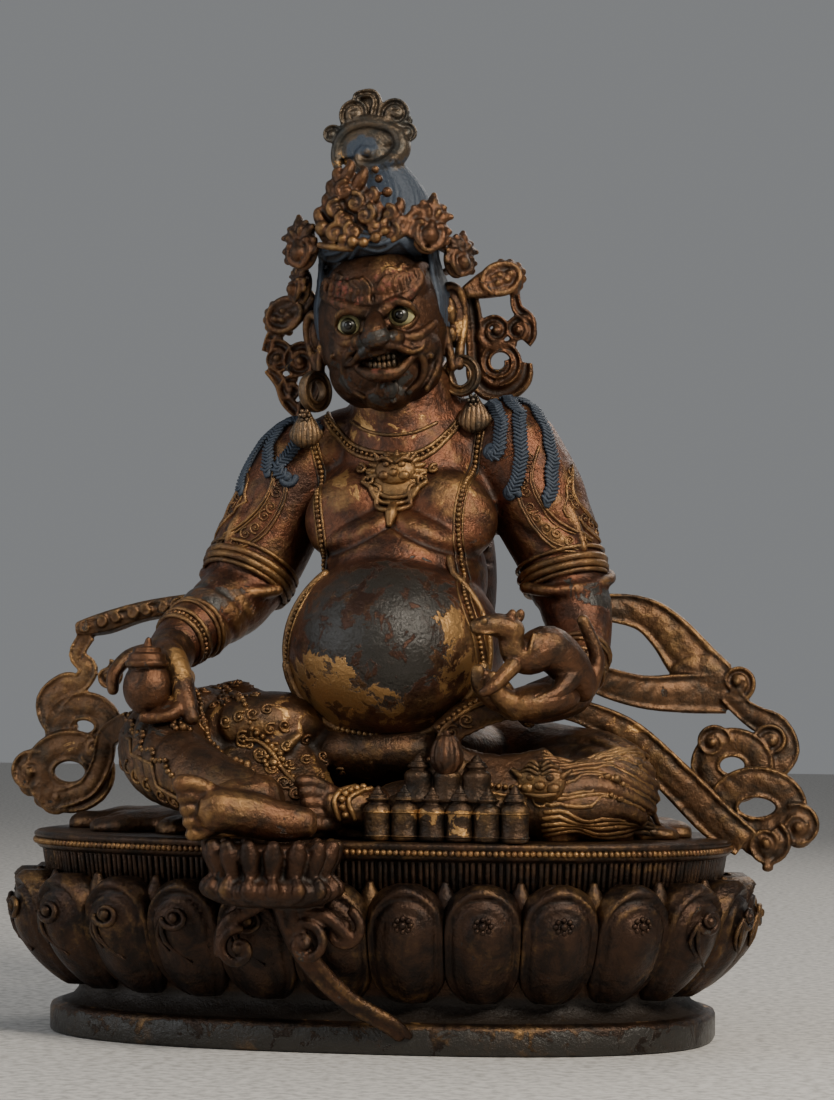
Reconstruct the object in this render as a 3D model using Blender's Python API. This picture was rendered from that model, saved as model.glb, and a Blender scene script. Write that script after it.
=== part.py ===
"""Seated Jambhala in cast and gilded metal, on its lotus pedestal.

Metres, +Z up. The figure faces -Y, and +X is on the right of someone who looks at its face.
The origin is the middle of the pedestal's underside.
"""

import bisect
import math

import bmesh
import bpy
from mathutils import Euler, Matrix, Vector
from mathutils.bvhtree import BVHTree

# Pedestal
BASE_WIDTH = 0.222
BASE_DEPTH = 0.146
BASE_HEIGHT = 0.0625
FOOT_BAND_HEIGHT = 0.009
FOOT_BAND_INSET = 0.0065
WAIST_INSET = 0.016
WAIST_HEIGHT = 0.006
PETAL_COUNT = 27
PETAL_PHASE = 0.175
PETAL_BULGE = 0.0085
PETAL_TOP_DROP = 0.0125
STAMEN_BAND_INSET = 0.0075
RIM_HEIGHT = 0.0055
OUTLINE_POWER = 2.5

# Footrest lotus, under the hanging foot
FOOTREST_X = -0.016
FOOTREST_WIDTH = 0.038
FOOTREST_DEPTH = 0.030
FOOTREST_HEIGHT = 0.019
FOOTREST_RIBS = 10
STEM_RADIUS = 0.0026

# Figure, from the top of the pedestal to the tip of its topknot
FIGURE_HEIGHT = 0.2385
GRID_HEIGHT = 238.5

# Pile of treasure vases
VASE_HEIGHT = 0.0165
VASE_RADIUS = 0.0043
VASE_ROW = 6
VASE_TIER = 3
VASE_PILE_X = 0.031
VASE_RIM_GAP = 0.0045

# Gap that separate castings keep where they meet
SEAT_GAP = 0.0003

# Mesh settings: size of the fusing grid, and triangles left on each casting
FUSE_GRID = 0.0011
VASES_FUSE_GRID = 0.0007
FIGURE_TRIANGLES = 3350
CROWN_TRIANGLES = 1180
SCARF_TRIANGLES = 500
VASES_TRIANGLES = 420

UNIT = FIGURE_HEIGHT / GRID_HEIGHT


def clear_scene():
    for old in list(bpy.data.objects):
        bpy.data.objects.remove(old)


def finish_material(name, colour, roughness, metallic):
    material = bpy.data.materials.new(name)
    material.use_nodes = True
    shader = material.node_tree.nodes["Principled BSDF"]
    shader.inputs["Base Color"].default_value = (*colour, 1.0)
    shader.inputs["Roughness"].default_value = roughness
    shader.inputs["Metallic"].default_value = metallic
    return material


def figure_point(x, y, z):
    """A point of the figure's own grid, which starts at the middle of the pedestal's top."""
    return Vector((x * UNIT, y * UNIT, BASE_HEIGHT + z * UNIT))


# Sculpting shapes, all drawn on the figure's grid

def blob(bm, centre, radii, turn=(0, 0, 0), frame=None):
    """An ellipsoid, turned by three angles in degrees."""
    angles = Euler([math.radians(a) for a in turn]).to_matrix().to_4x4()
    place = Matrix.Translation(Vector(centre)) @ angles @ Matrix.Diagonal((*radii, 1.0))
    if frame is not None:
        place = frame @ place
    bmesh.ops.create_icosphere(bm, subdivisions=3, radius=1.0, matrix=place)


def smooth_path(points, steps=5):
    """More stations on a curve through the given ones. Each station may carry sizes after its place."""
    tuples = [tuple(p) for p in points]
    padded = [tuples[0], *tuples, tuples[-1]]
    path = []
    for i in range(len(tuples) - 1):
        before, start, end, after = padded[i : i + 4]
        for k in range(steps):
            t = k / steps
            weights = (
                -0.5 * t + t * t - 0.5 * t**3,
                1 - 2.5 * t * t + 1.5 * t**3,
                0.5 * t + 2 * t * t - 1.5 * t**3,
                -0.5 * t * t + 0.5 * t**3,
            )
            stations = zip(before, start, end, after)
            path.append(tuple(sum(w * v for w, v in zip(weights, s)) for s in stations))
    path.append(tuples[-1])
    return path


def sweep(bm, path, section, closed=False):
    """Skins rings along a path. section(i, tangent) gives the ring's corner offsets."""
    places = [Vector(p[:3]) for p in path]
    count = len(places)
    rings = []
    for i, place in enumerate(places):
        if closed:
            tangent = places[(i + 1) % count] - places[i - 1]
        else:
            tangent = places[min(i + 1, count - 1)] - places[max(i - 1, 0)]
        offsets = section(i, tangent.normalized())
        rings.append([bm.verts.new(place + offset) for offset in offsets])
    size = len(rings[0])
    for i in range(count if closed else count - 1):
        here, there = rings[i], rings[(i + 1) % count]
        for k in range(size):
            bm.faces.new((here[k], here[(k + 1) % size], there[(k + 1) % size], there[k]))
    if not closed:
        bm.faces.new(list(reversed(rings[0])))
        bm.faces.new(rings[-1])


def limb(bm, stations, sides=12, frame=None, round_ends=True):
    """A round limb through stations (x, y, z, radius)."""
    path = smooth_path(stations)
    if frame is not None:
        path = [(*(frame @ Vector(p[:3])), p[3]) for p in path]

    def section(i, tangent):
        side = tangent.cross(Vector((0.31, -0.9, 0.29))).normalized()
        up = tangent.cross(side)
        angles = [2 * math.pi * k / sides for k in range(sides)]
        return [(side * math.cos(a) + up * math.sin(a)) * path[i][3] for a in angles]

    sweep(bm, path, section)
    if round_ends:
        for end in (path[0], path[-1]):
            blob(bm, end[:3], (end[3],) * 3)


def ribbon(bm, stations, thickness, frame=None, facing=(0, -1, 0), closed=False):
    """A flat band through stations (x, y, z, half width) that lies across the facing direction."""
    path = smooth_path([*stations, stations[0]] if closed else stations)
    if closed:
        path = path[:-1]
    front = Vector(facing).normalized()
    if frame is not None:
        path = [(*(frame @ Vector(p[:3])), p[3]) for p in path]
        front = (frame.to_3x3() @ front).normalized()

    def section(i, tangent):
        side = tangent.cross(front).normalized()
        out = front * thickness / 2
        return [side * math.cos(a) * path[i][3] + out * math.sin(a)
                for a in (2 * math.pi * k / 8 for k in range(8))]

    sweep(bm, path, section, closed)


def ring(bm, centre, radius_x, radius_z, half_width, thickness, frame=None, facing=(0, -1, 0)):
    """A closed band in the plane that faces the front."""
    front = Vector(facing).normalized()
    across = Vector((0, 0, 1)).cross(front).normalized()
    stations = []
    for k in range(12):
        a = 2 * math.pi * k / 12
        place = Vector(centre) + across * radius_x * math.cos(a) + Vector((0, 0, radius_z * math.sin(a)))
        stations.append((*place, half_width))
    ribbon(bm, stations, thickness, frame, facing, closed=True)


def curl(bm, centre, radius, turns, start_degrees, half_width, thickness, hand=1, frame=None):
    """A cloud curl: a band that winds in to its centre, in the plane that faces the front."""
    stations = []
    count = max(8, int(turns * 10))
    for k in range(count + 1):
        t = k / count
        a = math.radians(start_degrees) + hand * 2 * math.pi * turns * t
        r = radius * (1 - 0.85 * t)
        x, y, z = centre
        stations.append((x + r * math.cos(a), y, z + r * math.sin(a), half_width * (1 - 0.3 * t)))
    ribbon(bm, stations, thickness, frame)
    blob(bm, centre, (half_width * 1.3, thickness * 0.6, half_width * 1.3), frame=frame)


def casting(name, build, material, triangles, seat=None, grid=FUSE_GRID):
    """Fuses the shapes that build(bm) adds into one solid, thins its mesh and cuts it flat at its seat."""
    bm = bmesh.new()
    build(bm)
    bmesh.ops.recalc_face_normals(bm, faces=bm.faces)
    for vert in bm.verts:
        vert.co = figure_point(*vert.co)
    obj = new_object(name, bm)
    fuse = obj.modifiers.new("fuse", "REMESH")
    fuse.mode = "VOXEL"
    fuse.voxel_size = grid
    soften = obj.modifiers.new("soften", "SMOOTH")
    soften.factor = 0.5
    soften.iterations = 2
    bake(obj)
    largest_piece(obj.data)
    obj.data.calc_loop_triangles()
    thin = obj.modifiers.new("thin", "DECIMATE")
    thin.ratio = min(1.0, triangles / len(obj.data.loop_triangles))
    bake(obj)
    if seat is not None:
        cut_flat(obj.data, seat)
    obj.data.materials.append(material)
    return obj


def new_object(name, bm):
    mesh = bpy.data.meshes.new(name)
    bm.to_mesh(mesh)
    bm.free()
    obj = bpy.data.objects.new(name, mesh)
    bpy.context.scene.collection.objects.link(obj)
    return obj


def bake(obj):
    """Replaces the object's mesh by what its modifiers make of it."""
    graph = bpy.context.evaluated_depsgraph_get()
    mesh = bpy.data.meshes.new_from_object(obj.evaluated_get(graph))
    obj.modifiers.clear()
    obj.data = mesh


def cut_flat(mesh, height):
    """Takes away all that lies below a height and closes the cut."""
    bm = bmesh.new()
    bm.from_mesh(mesh)
    everything = [*bm.verts, *bm.edges, *bm.faces]
    bmesh.ops.bisect_plane(
        bm, geom=everything, plane_co=(0, 0, height), plane_no=(0, 0, -1), clear_outer=True
    )
    bmesh.ops.holes_fill(bm, edges=[e for e in bm.edges if e.is_boundary], sides=0)
    bmesh.ops.triangulate(bm, faces=[f for f in bm.faces if len(f.verts) > 4])
    bmesh.ops.recalc_face_normals(bm, faces=bm.faces)
    bm.to_mesh(mesh)
    bm.free()


def largest_piece(mesh):
    """Leaves only the biggest connected shell of a mesh, so that stray crumbs of the fusing grid go."""
    bm = bmesh.new()
    bm.from_mesh(mesh)
    unseen = set(bm.verts)
    shells = []
    while unseen:
        start = unseen.pop()
        shell, stack = {start}, [start]
        while stack:
            for edge in stack.pop().link_edges:
                for vert in edge.verts:
                    if vert in unseen:
                        unseen.discard(vert)
                        shell.add(vert)
                        stack.append(vert)
        shells.append(shell)
    largest = max(shells, key=len)
    crumbs = [v for v in bm.verts if v not in largest]
    bmesh.ops.delete(bm, geom=crumbs, context="VERTS")
    bm.to_mesh(mesh)
    bm.free()


def drape(tree, points, lift):
    """Lays points (x, z) on the front of a shape, each a little proud of it."""
    laid = []
    for x, z in points:
        hit = tree.ray_cast(Vector((x, -200, z)), Vector((0, 1, 0)))[0]
        if hit is not None:
            laid.append((x, hit.y - lift, z))
    return laid


# The figure

HEAD = Matrix.Translation((2, -8, 157)) @ Euler((math.radians(4), math.radians(-5), 0)).to_matrix().to_4x4()


def torso(bm):
    blob(bm, (6, 14, 20), (42, 36, 24))
    blob(bm, (7, -20, 57), (34, 41, 31))
    blob(bm, (8, -8, 80), (26, 31, 24))
    blob(bm, (7, 2, 104), (32, 26, 20))
    blob(bm, (7, 15, 80), (26, 21, 46))
    blob(bm, (6, 4, 117), (29, 16, 12))
    for s in (-1, 1):
        blob(bm, (7 + s * 14, -15, 99), (18, 13, 13), (0, s * 20, 0))
    limb(bm, [(6, 0, 114, 18), (5, -3, 126, 15), (3, -5, 136, 14)])


def arms(bm):
    limb(bm, [(-28, 5, 112, 15.5), (-35, 3, 101, 15.5), (-42, 0, 87, 15), (-46, -4, 78, 14)])
    limb(bm, [(-44, -3, 80, 12), (-47, -8, 74, 12.5), (-51, -16, 69, 11.5), (-57, -27, 62, 9.5),
              (-61, -35, 57, 7.5)])
    limb(bm, [(40, 5, 113, 16.5), (47, 4, 103, 15.5), (54, 3, 90, 14), (58, 1, 78, 13)])
    limb(bm, [(58, 1, 80, 11.5), (61, -2, 71, 11.5), (63, -6, 63, 10), (64, -14, 54, 8.6),
              (63, -24, 48, 7.4)])


def reach_forward(stations, share):
    """Stations with their forward reach changed by a share."""
    return [(x, y * share, *rest) for x, y, *rest in stations]


def hanging_reach():
    """Share that takes the hanging foot from its drawn place to the middle of its small lotus."""
    return (BASE_DEPTH + FOOTREST_DEPTH) / 2 / UNIT / 88


def folded_reach():
    """Share that brings the folded leg just behind the row of vases."""
    return (BASE_DEPTH / 2 - VASE_RIM_GAP - 2 * VASE_RADIUS) / UNIT / 60


def legs(bm):
    hanging = [(-8, 4, 20, 23), (-35, -15, 24, 20), (-58, -38, 28, 16.5), (-55, -54, 22, 13),
               (-42, -68, 17, 10.5), (-26, -80, 13, 8)]
    folded = [(22, 4, 20, 23), (50, -8, 17, 19), (73, -22, 15, 17), (66, -37, 12, 13.5),
              (40, -45, 11, 10.5), (14, -50, 9, 8.5)]
    limb(bm, reach_forward(hanging, hanging_reach()))
    limb(bm, reach_forward(folded, folded_reach()))
    wide, deep = BASE_WIDTH / 2 / UNIT, BASE_DEPTH / 2 / UNIT
    blob(bm, (4, -2, 1), (wide * 0.83, deep * 0.74, 8))
    blob(bm, (-wide * 0.66, -12, 3), (wide * 0.23, deep * 0.41, 6))
    blob(bm, (wide * 0.72, -10, 3), (wide * 0.21, deep * 0.41, 6))


def feet(bm):
    share = hanging_reach()
    limb(bm, reach_forward([(-8, -86, 6, 5.5), (-20, -88, 7, 6.5), (-32, -93, 9, 6.5)], share))
    limb(bm, reach_forward([(-26, -80, 13, 8), (-30, -86, 12, 7)], share))
    for k in range(5):
        toe = [(-32, -93, 14 - 2.6 * k, 2.8), (-40, -97 + k, 16 - 3.2 * k, 2.5)]
        limb(bm, reach_forward(toe, share))
    share = folded_reach()
    limb(bm, reach_forward([(14, -50, 8, 7.5), (4, -56, 9, 6.5), (-5, -62, 10, 5)], share))
    for k in range(4):
        toe = [(-4, -62, 14 - 3 * k, 2.6), (-12 + k, -67, 16 - 3.6 * k, 2.3)]
        limb(bm, reach_forward(toe, share))


def hands(bm):
    blob(bm, (-61, -44, 51), (8, 7, 9), (20, 0, -20))
    for k in range(4):
        x = -54 - 3.2 * k
        limb(bm, [(x, -46, 50, 2.8), (x + 2, -54, 44, 2.6), (x + 3, -56, 36, 2.2)])
    limb(bm, [(-66, -42, 50, 3), (-71, -48, 44, 2.6)])
    blob(bm, (-63, -57, 44), (8.5, 8, 9.5))
    blob(bm, (61, -34, 44), (8, 11, 6), (0, 0, 20))
    for k in range(4):
        limb(bm, [(59, -40 - k, 40 + 1.5 * k, 2.6), (50, -50 - 1.5 * k, 38 + 2 * k, 2.5),
                  (42, -56 - k, 47 + 1.5 * k, 2.1)])


def mongoose(bm):
    limb(bm, [(66, -44, 46, 6), (60, -50, 56, 9), (53, -54, 54, 7.5), (48, -58, 56, 5), (46, -60, 63, 4.5)])
    limb(bm, [(47, -61, 63, 5), (41, -66, 62.5, 3.6), (37, -68, 62, 2.4)])
    blob(bm, (50, -57, 67), (1.6, 1.6, 2.4))
    limb(bm, [(50, -60, 50, 2.6), (45, -64, 44, 2)])
    limb(bm, [(68, -42, 46, 3), (71, -38, 56, 2.2), (73, -36, 66, 1.6)])


def head(bm):
    blob(bm, (0, 0, 2), (21, 23, 26), frame=HEAD)
    blob(bm, (0, -7, -13), (17, 16, 13), frame=HEAD)
    blob(bm, (0, -16, -20), (9, 8, 6), frame=HEAD)
    blob(bm, (0, -23, -1), (4.6, 6, 6.5), frame=HEAD)
    for s in (-1, 1):
        blob(bm, (s * 11, -15, -4), (8.5, 8, 8), frame=HEAD)
        blob(bm, (s * 9, -20, 9), (8.5, 4.5, 4), (0, -s * 22, 0), frame=HEAD)
        blob(bm, (s * 9, -20, 2.5), (4.2, 3.6, 3.8), frame=HEAD)
        blob(bm, (s * 22, -1, -2), (3, 6, 12), frame=HEAD)
    blob(bm, (0, 3, 12), (23.5, 24.5, 18), frame=HEAD)


def topknot(bm):
    blob(bm, (0, 9, 187), (13, 12, 15))
    limb(bm, [(0, 9, 192, 10.5), (0, 8, 202, 9), (-5, 6, 213, 7)])
    ring(bm, (-8, 6, 215), 9, 9, 3.8, 8)
    limb(bm, [(-9, 3, 214, 3), (-3, 1, 213, 2.6), (3, 3, 217, 2.2)])
    curl(bm, (-12, 5, 228), 4.5, 1, 200, 2.2, 7)
    curl(bm, (-1, 5, 227.5), 4.5, 1, -20, 2.2, 7, hand=-1)
    curl(bm, (-20, 5, 222.5), 3, 1, 0, 1.9, 6)
    curl(bm, (3.5, 5, 222), 3, 1, 180, 1.9, 6)
    limb(bm, [(-7, 5, 227, 2.6), (-6, 5, 233, 2.2), (-9, 5, 236.5, 1.8)])


def jewellery(bm, tree):
    for side, x, y, z, turn in ((-1, -23, -10, 139, 35), (1, 24, -6, 144, -20)):
        facing = (math.sin(math.radians(turn)), -math.cos(math.radians(turn)), 0)
        ring(bm, (x, y, z), 6, 6.4, 2, 3.6, facing=facing)
        blob(bm, (x + 2 * side, y - 1, z - 12), (5, 4, 6))
        tresses = [(x - side * 4, 134), (x + side * 4, 128), (x + side * 9, 119), (x + side * 11, 110)]
        for k in range(3):
            strand = [(a + side * 4.5 * k - side * 4, b - 2 * k) for a, b in tresses]
            limb(bm, [(*place, 2.6) for place in drape(tree, strand, 0.5)])
    angles = [math.pi * k / 10 for k in range(11)]
    necklace = [(7 - 23 * math.cos(a), 128 - 14 * math.sin(a)) for a in angles]
    limb(bm, [(*place, 1.8) for place in drape(tree, necklace, 0.4)])
    middle = drape(tree, [(8, 112)], 0.5)[0]
    blob(bm, middle, (10, 3, 7.5), (-25, 0, 0))
    girdle = []
    for k in range(29):
        a = math.radians(62 + 236 * k / 28)
        girdle.append((5.5 + 31.5 * math.sin(a), 57 + 32 * math.cos(a)))
    limb(bm, [(*place, 1.7) for place in drape(tree, girdle, 0.2)], sides=8)


def figure_shapes(bm):
    torso(bm)
    arms(bm)
    jewellery(bm, BVHTree.FromBMesh(bm))
    for build in (legs, feet, hands, mongoose, head, topknot):
        build(bm)


# The crown, with its ear fans and hanging ribbons

def crown_leaf(bm, centre, width, height, depth, lean):
    """One leaf of the crown: a jewelled boss with lobes that rise and spread round it."""
    turn = Euler((math.radians(-8), math.radians(lean), 0)).to_matrix().to_4x4()
    place = Matrix.Translation(centre) @ turn
    blob(bm, (0, 0, 0), (width * 0.42, depth, height * 0.36), frame=place)
    blob(bm, (0, -depth * 0.7, -height * 0.05), (width * 0.22, depth * 0.6, width * 0.22), frame=place)
    for k in range(-2, 3):
        spread = math.radians(k * 30)
        tip = Vector((math.sin(spread) * width * 0.5, 0, math.cos(spread) * height * 0.5))
        limb(bm, [(*(tip * 0.45), width * 0.16), (*tip, width * 0.09)], sides=8, frame=place)


def central_leaf(bm):
    """The tall foliate panel over the brow, built from tiers of bosses that narrow to a tip."""
    tiers = ((181, 11, 5), (187, 11, 4), (193, 8, 3), (199, 5.5, 2))
    for tier, (z, half_width, count) in enumerate(tiers):
        for k in range(count):
            share = (k / (count - 1)) * 2 - 1
            x = -4.5 + share * half_width - tier * 0.7
            blob(bm, (x, -25 + abs(share) * 2 + tier, z + abs(share) * 1.5), (3.6, 3.4, 3.9))
    blob(bm, (-5, -21.5, 190), (10, 3, 11))
    limb(bm, [(-6, -20, 200, 4), (-7, -18, 208, 1.6)])


def crown_ribbons(bm):
    ribbon(bm, [(25, 2, 172, 2.5), (32, 4, 175.5, 4.2), (41, 6, 174, 2.2)], 5)
    ribbon(bm, [(27, 5, 172, 2.6), (28, 7, 160, 3), (28, 8, 148, 3), (31, 8, 141, 3.4),
                (38, 8, 139, 3.2), (44, 8, 144, 2.6)], 3.6)
    ring(bm, (37, 8, 147), 6.2, 5.6, 1.9, 3.6)
    ring(bm, (34.5, 8, 157), 4.2, 3.4, 1.8, 3.6)
    ring(bm, (41.5, 8, 159), 3.2, 3.4, 1.8, 3.6)
    limb(bm, [(43.5, 8, 162, 2), (44, 8, 167, 1.8), (41, 8, 171, 1.4)])
    ribbon(bm, [(-22.5, 0, 178, 2.5), (-28, 2, 170, 3), (-33, 3, 165, 4.4), (-39, 4, 166, 2.4)], 5)
    ribbon(bm, [(-29, 3, 168, 2.6), (-29.5, 5, 158, 2.8), (-30, 6, 148, 2.8), (-33, 5, 138, 2.6),
                (-30, 4, 131, 2)], 3.6)
    ring(bm, (-33, 5, 150), 4.8, 4.2, 1.9, 3.6)
    ring(bm, (-40, 5, 149), 3.6, 4, 1.8, 3.6)
    limb(bm, [(-41, 5, 152, 2), (-38.5, 5, 157, 1.7), (-41, 5, 161, 1.3)])


def crown_shapes(bm):
    band = []
    for k in range(24):
        a = 2 * math.pi * k / 24
        band.append((1.5 + 24.6 * math.sin(a), -3 - 25 * math.cos(a), 178 + 2.5 * math.cos(a), 2.6))
    ribbon(bm, band, 2.6, facing=(0, 0, -1), closed=True)
    central_leaf(bm)
    crown_leaf(bm, (15.5, -22, 187), 12, 19, 3.6, 12)
    crown_leaf(bm, (24, -11, 179), 10, 15, 3.6, 20)
    crown_leaf(bm, (-24, -19, 181.5), 11, 17, 3.6, -14)
    crown_leaf(bm, (-27, -8, 172), 9, 14, 3.6, -18)
    crown_ribbons(bm)


# The scarves, which leave the elbows and come back to the knees

def scarf_right_shapes(bm):
    ribbon(bm, [(62, 6, 70, 3), (70, 10, 72, 3), (82, 12, 71, 3.2), (91, 12, 65, 3.4), (97, 12, 56, 4),
                (104, 11, 46, 4.5)], 3.2)
    ribbon(bm, [(63, -12, 52, 3), (70, -4, 48, 3.2), (82, 4, 45.6, 3.2), (96, 9, 45.5, 3.4),
                (107, 11, 44, 3.6)], 3.2)
    blob(bm, (103, 10, 46.5), (9, 2, 5.5), (0, 20, 0))
    ribbon(bm, [(109, 10, 46, 2.6), (112, 10, 41, 2.2), (117, 9, 37, 2.6), (123, 8, 35, 2.6),
                (126, 7, 28, 3.2)], 3.2)
    ring(bm, (109.5, 5, 22), 7.6, 7, 2.7, 3.2)
    blob(bm, (103.5, 5, 29), (4.4, 2, 3.6))
    blob(bm, (122, 6, 30), (4, 2, 3.6))
    ring(bm, (117.5, 2, 9.5), 10.4, 7, 2.8, 3.2)
    blob(bm, (131, 1, 3), (5, 2.2, 7.2))
    blob(bm, (120.5, -1, -2.5), (8.5, 2.2, 4.6))
    limb(bm, [(121, -1, -5, 1.8), (121, -1, -8.5, 1.5)])
    ribbon(bm, [(58, -20, 40, 3), (66, -14, 38, 3.2), (79, -8, 32, 3.4), (94, -4, 17, 3.4), (105, -2, 6, 3.4),
                (114, -1, -2, 3)], 3.2)


def scarf_left_shapes(bm):
    ribbon(bm, [(-50, 2, 72, 2.6), (-63, 8, 72, 2.6), (-81, 9, 69.5, 2.4), (-94, 8, 65.5, 3),
                (-104, 7, 63.5, 2)], 8)
    ribbon(bm, [(-100, 6, 62, 2.4), (-103.5, 6, 55.5, 2.4), (-99.6, 6, 51, 2.6), (-102, 6, 46.5, 2.6),
                (-108, 6, 46, 3), (-113, 6, 40.5, 3.4), (-111, 6, 33.5, 3.2), (-104, 6, 35, 2.8)], 3.2)
    ring(bm, (-101.5, 6, 32), 7.8, 6, 2.4, 3.2)
    ring(bm, (-105.5, 5, 17.5), 9.8, 8.2, 2.6, 3.2)
    blob(bm, (-119, 5, 16), (5, 2.2, 8))
    blob(bm, (-109, 5, 7.5), (9, 2.2, 3.6))
    ribbon(bm, [(-110, 5, 7.5, 2.6), (-99, 4, 12, 2.4), (-93, 1, 20.5, 2.4), (-89, -6, 29, 2.6),
                (-78, -20, 34, 2.6)], 3.2)


# The treasure vases

def turned(bm, centre, profile, sides):
    """A turned solid: rings of (radius, height) round a vertical axis."""
    x, y, z = centre
    rings = []
    for radius, height in profile:
        angles = [2 * math.pi * k / sides for k in range(sides)]
        points = [(x + radius * math.cos(a), y + radius * math.sin(a), z + height) for a in angles]
        rings.append([bm.verts.new(point) for point in points])
    skin_rings(bm, rings)


def skin_rings(bm, rings):
    """Walls between closed rings, with a cap on the first and the last one."""
    for low, high in zip(rings, rings[1:]):
        step = max(len(low), len(high)) // min(len(low), len(high))
        coarse, fine, up = (low, high, True) if len(low) < len(high) else (high, low, False)
        for k in range(len(coarse)):
            there = (k + 1) % len(coarse)
            arc = [fine[(k * step + j) % len(fine)] for j in range(step + 1)]
            corners = [coarse[k], coarse[there], *reversed(arc)]
            bm.faces.new(corners if up or step == 1 else list(reversed(corners)))
    bm.faces.new(list(reversed(rings[0])))
    bm.faces.new(rings[-1])


def vase_profile(radius, height):
    """A jar with a straight body, a shoulder, a neck and a domed lid with a knob."""
    steps = ((0.92, 0), (1.0, 0.05), (1.02, 0.58), (0.86, 0.68), (0.6, 0.72), (0.74, 0.76), (0.62, 0.85),
             (0.24, 0.92), (0.26, 0.97), (0.1, 1.0))
    return [(radius * r, height * h) for r, h in steps]


def vases_shapes(bm):
    radius, height = VASE_RADIUS / UNIT, VASE_HEIGHT / UNIT
    gap = SEAT_GAP / UNIT
    pitch = radius * 1.9
    middle = VASE_PILE_X / UNIT
    row_y = -(BASE_DEPTH / 2 - VASE_RIM_GAP) / UNIT + radius
    for k in range(VASE_ROW):
        x = middle + (k - (VASE_ROW - 1) / 2) * pitch
        turned(bm, (x, row_y, gap - 1), [(radius, 0), *vase_profile(radius, height)[1:]], 10)
    for k in range(VASE_TIER):
        x = middle + (k - (VASE_TIER - 1) / 2) * pitch * 1.05
        stacked = vase_profile(radius * 1.02, height * 0.82)
        turned(bm, (x, row_y + 0.4 * radius, gap + height * 0.62), stacked, 10)
    for k in (-1, 0, 1):
        flame = [(middle, row_y, height * 1.3, radius * 0.75),
                 (middle + k * 1.6, row_y, height * 1.65, radius * 0.55),
                 (middle + k * 0.9, row_y, height * 1.98, radius * 0.25)]
        limb(bm, flame, sides=8)


# The pedestal

def outline(count, phase):
    """Evenly spaced points on the pedestal's rim, each with its outward direction."""
    half_x, half_y = BASE_WIDTH / 2, BASE_DEPTH / 2
    fine = []
    for k in range(count * 40):
        a = 2 * math.pi * k / (count * 40)
        c, s = math.cos(a), math.sin(a)
        fine.append(Vector((half_x * math.copysign(abs(c) ** (2 / OUTLINE_POWER), c),
                            half_y * math.copysign(abs(s) ** (2 / OUTLINE_POWER), s))))
    lengths = [0.0]
    for here, there in zip(fine, fine[1:] + fine[:1]):
        lengths.append(lengths[-1] + (there - here).length)
    points = []
    for i in range(count):
        goal = lengths[-1] * ((i + phase) / count % 1.0)
        points.append(fine[bisect.bisect(lengths, goal) - 1])
    result = []
    for i, point in enumerate(points):
        along = points[(i + 1) % count] - points[i - 1]
        result.append((point, Vector((along.y, -along.x)).normalized()))
    return result


def pedestal_profile():
    """Rings from the underside up: height, offset of the plain surface, and how far petals reach."""
    petals_low = FOOT_BAND_HEIGHT + WAIST_HEIGHT
    petals_high = BASE_HEIGHT - PETAL_TOP_DROP
    span = petals_high - petals_low
    rim_low = BASE_HEIGHT - RIM_HEIGHT
    foot = [(0.0, -FOOT_BAND_INSET), (FOOT_BAND_HEIGHT, -FOOT_BAND_INSET),
            (FOOT_BAND_HEIGHT + 0.0005, -FOOT_BAND_INSET - 0.003), (petals_low, -WAIST_INSET)]
    petals = [(petals_low + share * span, offset, reach * PETAL_BULGE)
              for share, offset, reach in ((0.05, -0.0135, 0.5), (0.18, -0.012, 0.95), (0.42, -0.006, 1.1),
                                           (0.7, 0.001, 1.0), (0.9, 0.0, 0.9), (1.0, -0.004, 0.35))]
    rim = [(petals_high + 0.0004, -STAMEN_BAND_INSET), (rim_low - 0.0004, -STAMEN_BAND_INSET),
           (rim_low, -0.0025), (rim_low + 0.0016, 0.0), (BASE_HEIGHT - 0.0012, 0.0), (BASE_HEIGHT, -0.0012)]
    return foot, petals, rim


def pedestal_body():
    per_petal = 6
    coarse = outline(PETAL_COUNT * 2, PETAL_PHASE * 2 + 1)
    fine = outline(PETAL_COUNT * per_petal, PETAL_PHASE * per_petal + 3)
    foot, petals, rim = pedestal_profile()
    bm = bmesh.new()

    def plain_rings(profile):
        return [[bm.verts.new((*(point + out * offset), height)) for point, out in coarse]
                for height, offset in profile]

    rings = plain_rings(foot)
    for height, offset, reach in petals:
        verts = []
        for i, (point, out) in enumerate(fine):
            across = (i % per_petal) / per_petal * 2 - 1
            swell = max(0.0, 1 - across * across) ** 0.5
            verts.append(bm.verts.new((*(point + out * (offset + reach * swell)), height)))
        rings.append(verts)
    rings += plain_rings(rim)
    skin_rings(bm, rings)
    bmesh.ops.triangulate(bm, faces=[f for f in bm.faces if len(f.verts) > 4])
    bmesh.ops.recalc_face_normals(bm, faces=bm.faces)
    return new_object("lotus_pedestal", bm)


def footrest():
    """The small lotus on a stem that carries the hanging foot, and the middle of its underside."""
    sides = FOOTREST_RIBS * 2
    profile = ((0.5, 0.0), (0.92, 0.14), (1.0, 0.3), (0.94, 0.42), (0.8, 0.5), (0.82, 0.8), (0.92, 0.94),
               (0.88, 1.0))
    half_x, half_y = FOOTREST_WIDTH / 2, FOOTREST_DEPTH / 2
    middle = Vector((FOOTREST_X, -BASE_DEPTH / 2 - half_y + 0.0025, BASE_HEIGHT - FOOTREST_HEIGHT))
    bm = bmesh.new()
    rings = []
    for size, share in profile:
        verts = []
        for k in range(sides):
            a = 2 * math.pi * k / sides
            rib = 1 + (0.05 if k % 2 else -0.05) * (0.2 < share < 0.97)
            reach = Vector((half_x * math.cos(a), half_y * math.sin(a), 0)) * size * rib
            verts.append(bm.verts.new(middle + reach + Vector((0, 0, FOOTREST_HEIGHT * share))))
        rings.append(verts)
    skin_rings(bm, rings)
    bmesh.ops.recalc_face_normals(bm, faces=bm.faces)
    return bm, middle


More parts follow.
